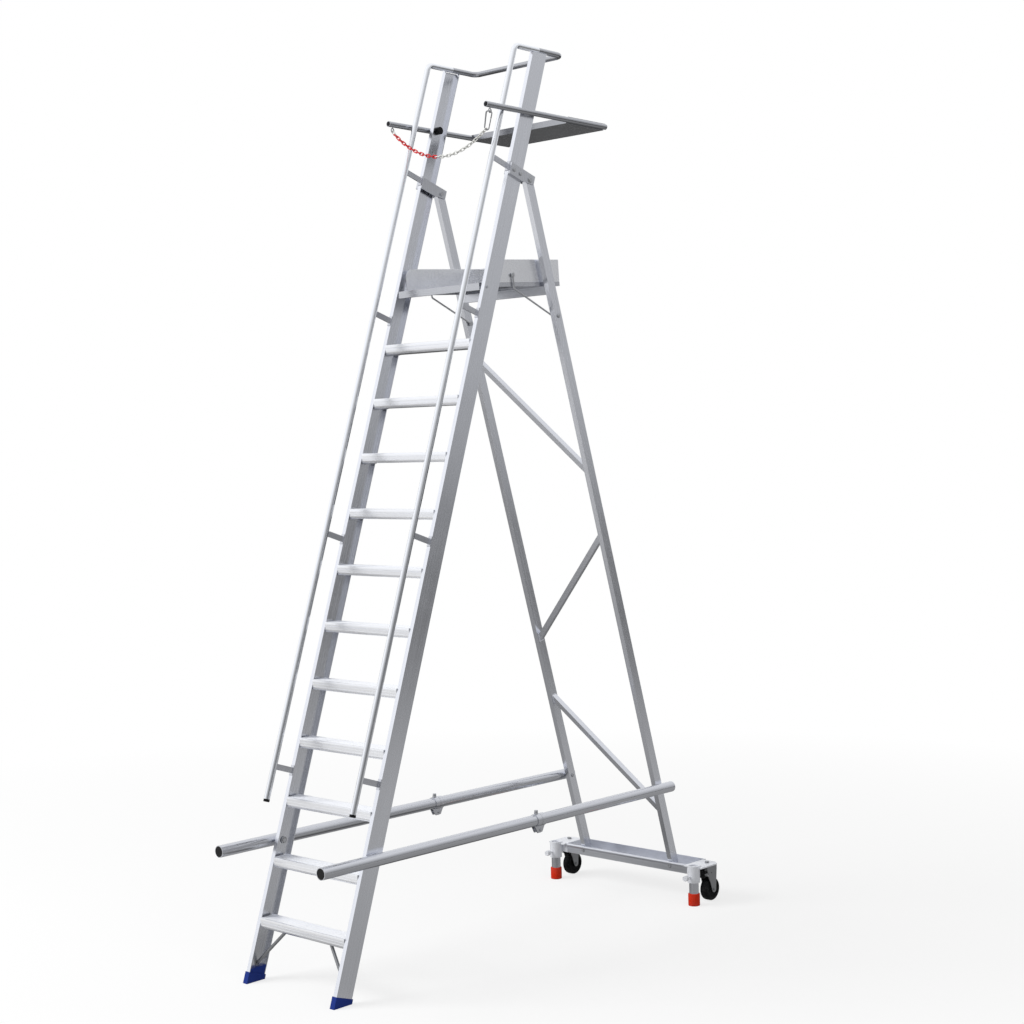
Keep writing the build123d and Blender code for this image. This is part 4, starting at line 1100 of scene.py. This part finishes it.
def add_lamp(name, place, target, size, power):
    """A soft rectangular lamp that the metal doesn't mirror."""
    lamp = bpy.data.lights.new(name, "AREA")
    lamp.shape = "RECTANGLE"
    lamp.size, lamp.size_y = size
    lamp.energy = power
    holder = bpy.data.objects.new(name, lamp)
    holder.location = place
    holder.rotation_euler = aim(place, target)
    holder.visible_glossy = False
    bpy.context.scene.collection.objects.link(holder)


def add_camera(stage):
    """The scene's camera, by its place, heading, pitch and roll."""
    heading, pitch, roll = stage.heading, stage.pitch, stage.roll
    ahead = Vector((-sin(heading) * cos(pitch), cos(heading) * cos(pitch), -sin(pitch)))
    right = Vector((cos(heading), sin(heading), 0))
    upward = right.cross(ahead)
    rolled_right = cos(roll) * right + sin(roll) * upward
    rolled_up = cos(roll) * upward - sin(roll) * right
    lens = bpy.data.cameras.new("camera")
    lens.angle = stage.view_angle
    lens.clip_end = 200
    camera = bpy.data.objects.new("camera", lens)
    turn = Matrix((rolled_right, rolled_up, -ahead)).transposed().to_4x4()
    camera.matrix_world = Matrix.Translation(stage.camera_place) @ turn
    bpy.context.scene.collection.objects.link(camera)
    bpy.context.scene.camera = camera


def shown_rays(finish):
    """1 for the rays that show the background: camera, glossy and transmission rays."""
    names = ("Is Camera Ray", "Is Glossy Ray", "Is Transmission Ray")
    rays = [finish.node("ShaderNodeLightPath", output=name) for name in names]
    return finish.node("ShaderNodeClamp", None, {"Value": rays[0] + rays[1] + rays[2]})


def add_surround(scene, stage):
    """White to the eye. In the metal, a hall with a bright ceiling, a soft box and grey walls."""
    world = bpy.data.worlds.new("studio")
    world.use_nodes = True
    scene.world = world
    studio = Finish(world.node_tree)
    direction = studio.node("ShaderNodeTexCoord", output="Generated")
    slant = 0.72 + studio.along(direction, (-0.54, 0.20, 0))
    walls = studio.node("ShaderNodeClamp", None, {"Value": slant, "Min": 0.18, "Max": 0.97})
    ceiling = studio.ramp(studio.along(direction, (0, 0, 1)), 0.18, 0.75)
    soft_box = studio.ramp(studio.along(direction, (-0.51, -0.66, 0.55)), 0.72, 0.96)
    tone = walls + (1 - walls) * ceiling + soft_box * 0.12
    eye = studio.node("ShaderNodeLightPath", output="Is Camera Ray")
    white = studio.tint(eye, (0.97, 0.98, 1.0), (1, 1, 1))
    strength = tone * (1 - eye) + eye
    seen = studio.node("ShaderNodeBackground", None, {"Color": white, "Strength": strength})
    light = studio.node("ShaderNodeBackground", None, {"Color": WHITE, "Strength": stage.ambient})
    mixed = studio.node("ShaderNodeMixShader", None, {0: shown_rays(studio), 1: light, 2: seen})
    studio.node("ShaderNodeOutputWorld", None, {"Surface": mixed})


def painted_floor_reflection(paving, coords):
    """Tone of the floor in the metal, in painted light and shade on a glowing floor: lighter to the left and a
    little to the right, darker behind and far to the right, with a painted shadow under the ladder. Sides are
    named as the camera sees them, distances in metres.
    """

    def towards(heading, start, full):
        return paving.ramp(paving.along(coords, heading), start, full)

    # painted shadow: in the metal, the floor glows darker in an oval under the ladder
    footprint = paving.node(
        "ShaderNodeVectorMath", {"operation": "MULTIPLY"}, {0: coords, 1: (2.0, 0.6, 0)})
    painted_shadow_under = 1 - paving.ramp(paving.away(footprint), 0.35, 0.85)
    before = towards((0.68, -0.74, 0), -0.2, 0.4)
    far_left = towards((-0.74, -0.68, 0), 6.0, 10.0)
    beside = (1 - before) * (1 - far_left)
    left = towards((-0.74, -0.68, 0), 0.3, 3.0) * (1 - beside)
    behind = towards((-0.85, 0.53, 0), 0.5, 3.5)
    right = towards((0.68, 0.73, 0), 0.3, 3.0)
    far_right = towards((0.68, 0.73, 0), 4.5, 13.0)
    return 0.36 - behind * 0.29 + right * 0.08 - far_right * 0.29 + left * 0.58 - painted_shadow_under * 0.24


def add_floor():
    """A pale floor that turns white with distance and keeps a soft shadow. In the metal it glows grey, in painted
    light and shade.
    """
    half = 80.0
    rim = [(-half, -half, 0), (half, -half, 0), (half, half, 0), (-half, half, 0)]
    mesh = bpy.data.meshes.new("floor")
    mesh.from_pydata(rim, [], [(0, 1, 2, 3)])
    floor = new_piece("floor", mesh)
    material, paving = new_finish("floor")
    coords = paving.node("ShaderNodeTexCoord", output="Object")
    eye = paving.node("ShaderNodeLightPath", output="Is Camera Ray")
    mirrored = shown_rays(paving) - eye
    lift = 0.74 + paving.ramp(paving.away(coords), 1.5, 6.0) * 0.26
    pale = paving.tint(eye, (0.40, 0.40, 0.40), (0.94, 0.94, 0.94))
    matt = paving.node("ShaderNodeBsdfDiffuse", None, {"Color": pale})
    # glossy rays see the floor glow with painted light and shade
    strength = eye + mirrored * painted_floor_reflection(paving, coords)
    lit = paving.node("ShaderNodeEmission", None, {"Color": WHITE, "Strength": strength})
    share = eye * lift + mirrored * 0.94
    surface = paving.node("ShaderNodeMixShader", None, {0: share, 1: matt, 2: lit})
    paving.node("ShaderNodeOutputMaterial", None, {"Surface": surface})
    paint(floor, material)


class LADDER_OT_stage(bpy.types.Operator):
    """Pale floor, white surround, soft lamps and the camera"""

    bl_idname = "ladder.stage"
    bl_label = "Stage"

    def execute(self, context):
        stage = context.scene.ladder_stage
        context.scene.view_settings.view_transform = "Standard"
        add_camera(stage)
        add_lamp("key", (-4.6, -6.0, 7.0), (0, 0, 2.0), (5.0, 4.0), stage.key_power)
        add_lamp("fill", (6.5, -2.0, 4.0), (0, 0, 1.8), (3.0, 4.0), stage.fill_power)
        add_surround(context.scene, stage)
        add_floor()
        return {"FINISHED"}


class LADDER_PT_panel(bpy.types.Panel):
    """Steps that dress the ladder, in order, and the values that they use"""

    bl_label = "Stepladder"
    bl_space_type = "VIEW_3D"
    bl_region_type = "UI"
    bl_category = "Stepladder"

    def draw(self, context):
        for step in STEPS:
            self.layout.operator(step.bl_idname)
        for name, group in GROUPS.items():
            box = self.layout.box()
            for label in group.__annotations__:
                box.prop(getattr(context.scene, name), label)


GROUPS = {"ladder_finishes": LadderFinishes, "ladder_sizes": LadderSizes, "ladder_stage": LadderStage}
STEPS = (
    LADDER_OT_finishes, LADDER_OT_extrusions, LADDER_OT_treads, LADDER_OT_beam, LADDER_OT_fasteners,
    LADDER_OT_welds, LADDER_OT_chain, LADDER_OT_hook, LADDER_OT_cuffs, LADDER_OT_castors,
    LADDER_OT_tips, LADDER_OT_stage)


def register():
    for group in (*GROUPS.values(), *STEPS, LADDER_PT_panel):
        bpy.utils.register_class(group)
    for name, group in GROUPS.items():
        setattr(bpy.types.Scene, name, PointerProperty(type=group))


def unregister():
    for name in GROUPS:
        delattr(bpy.types.Scene, name)
    for group in (LADDER_PT_panel, *reversed(STEPS), *GROUPS.values()):
        bpy.utils.unregister_class(group)


def main():
    register()
    for step in STEPS:
        area, name = step.bl_idname.split(".")
        getattr(getattr(bpy.ops, area), name)()


if __name__ == "__main__":
    main()
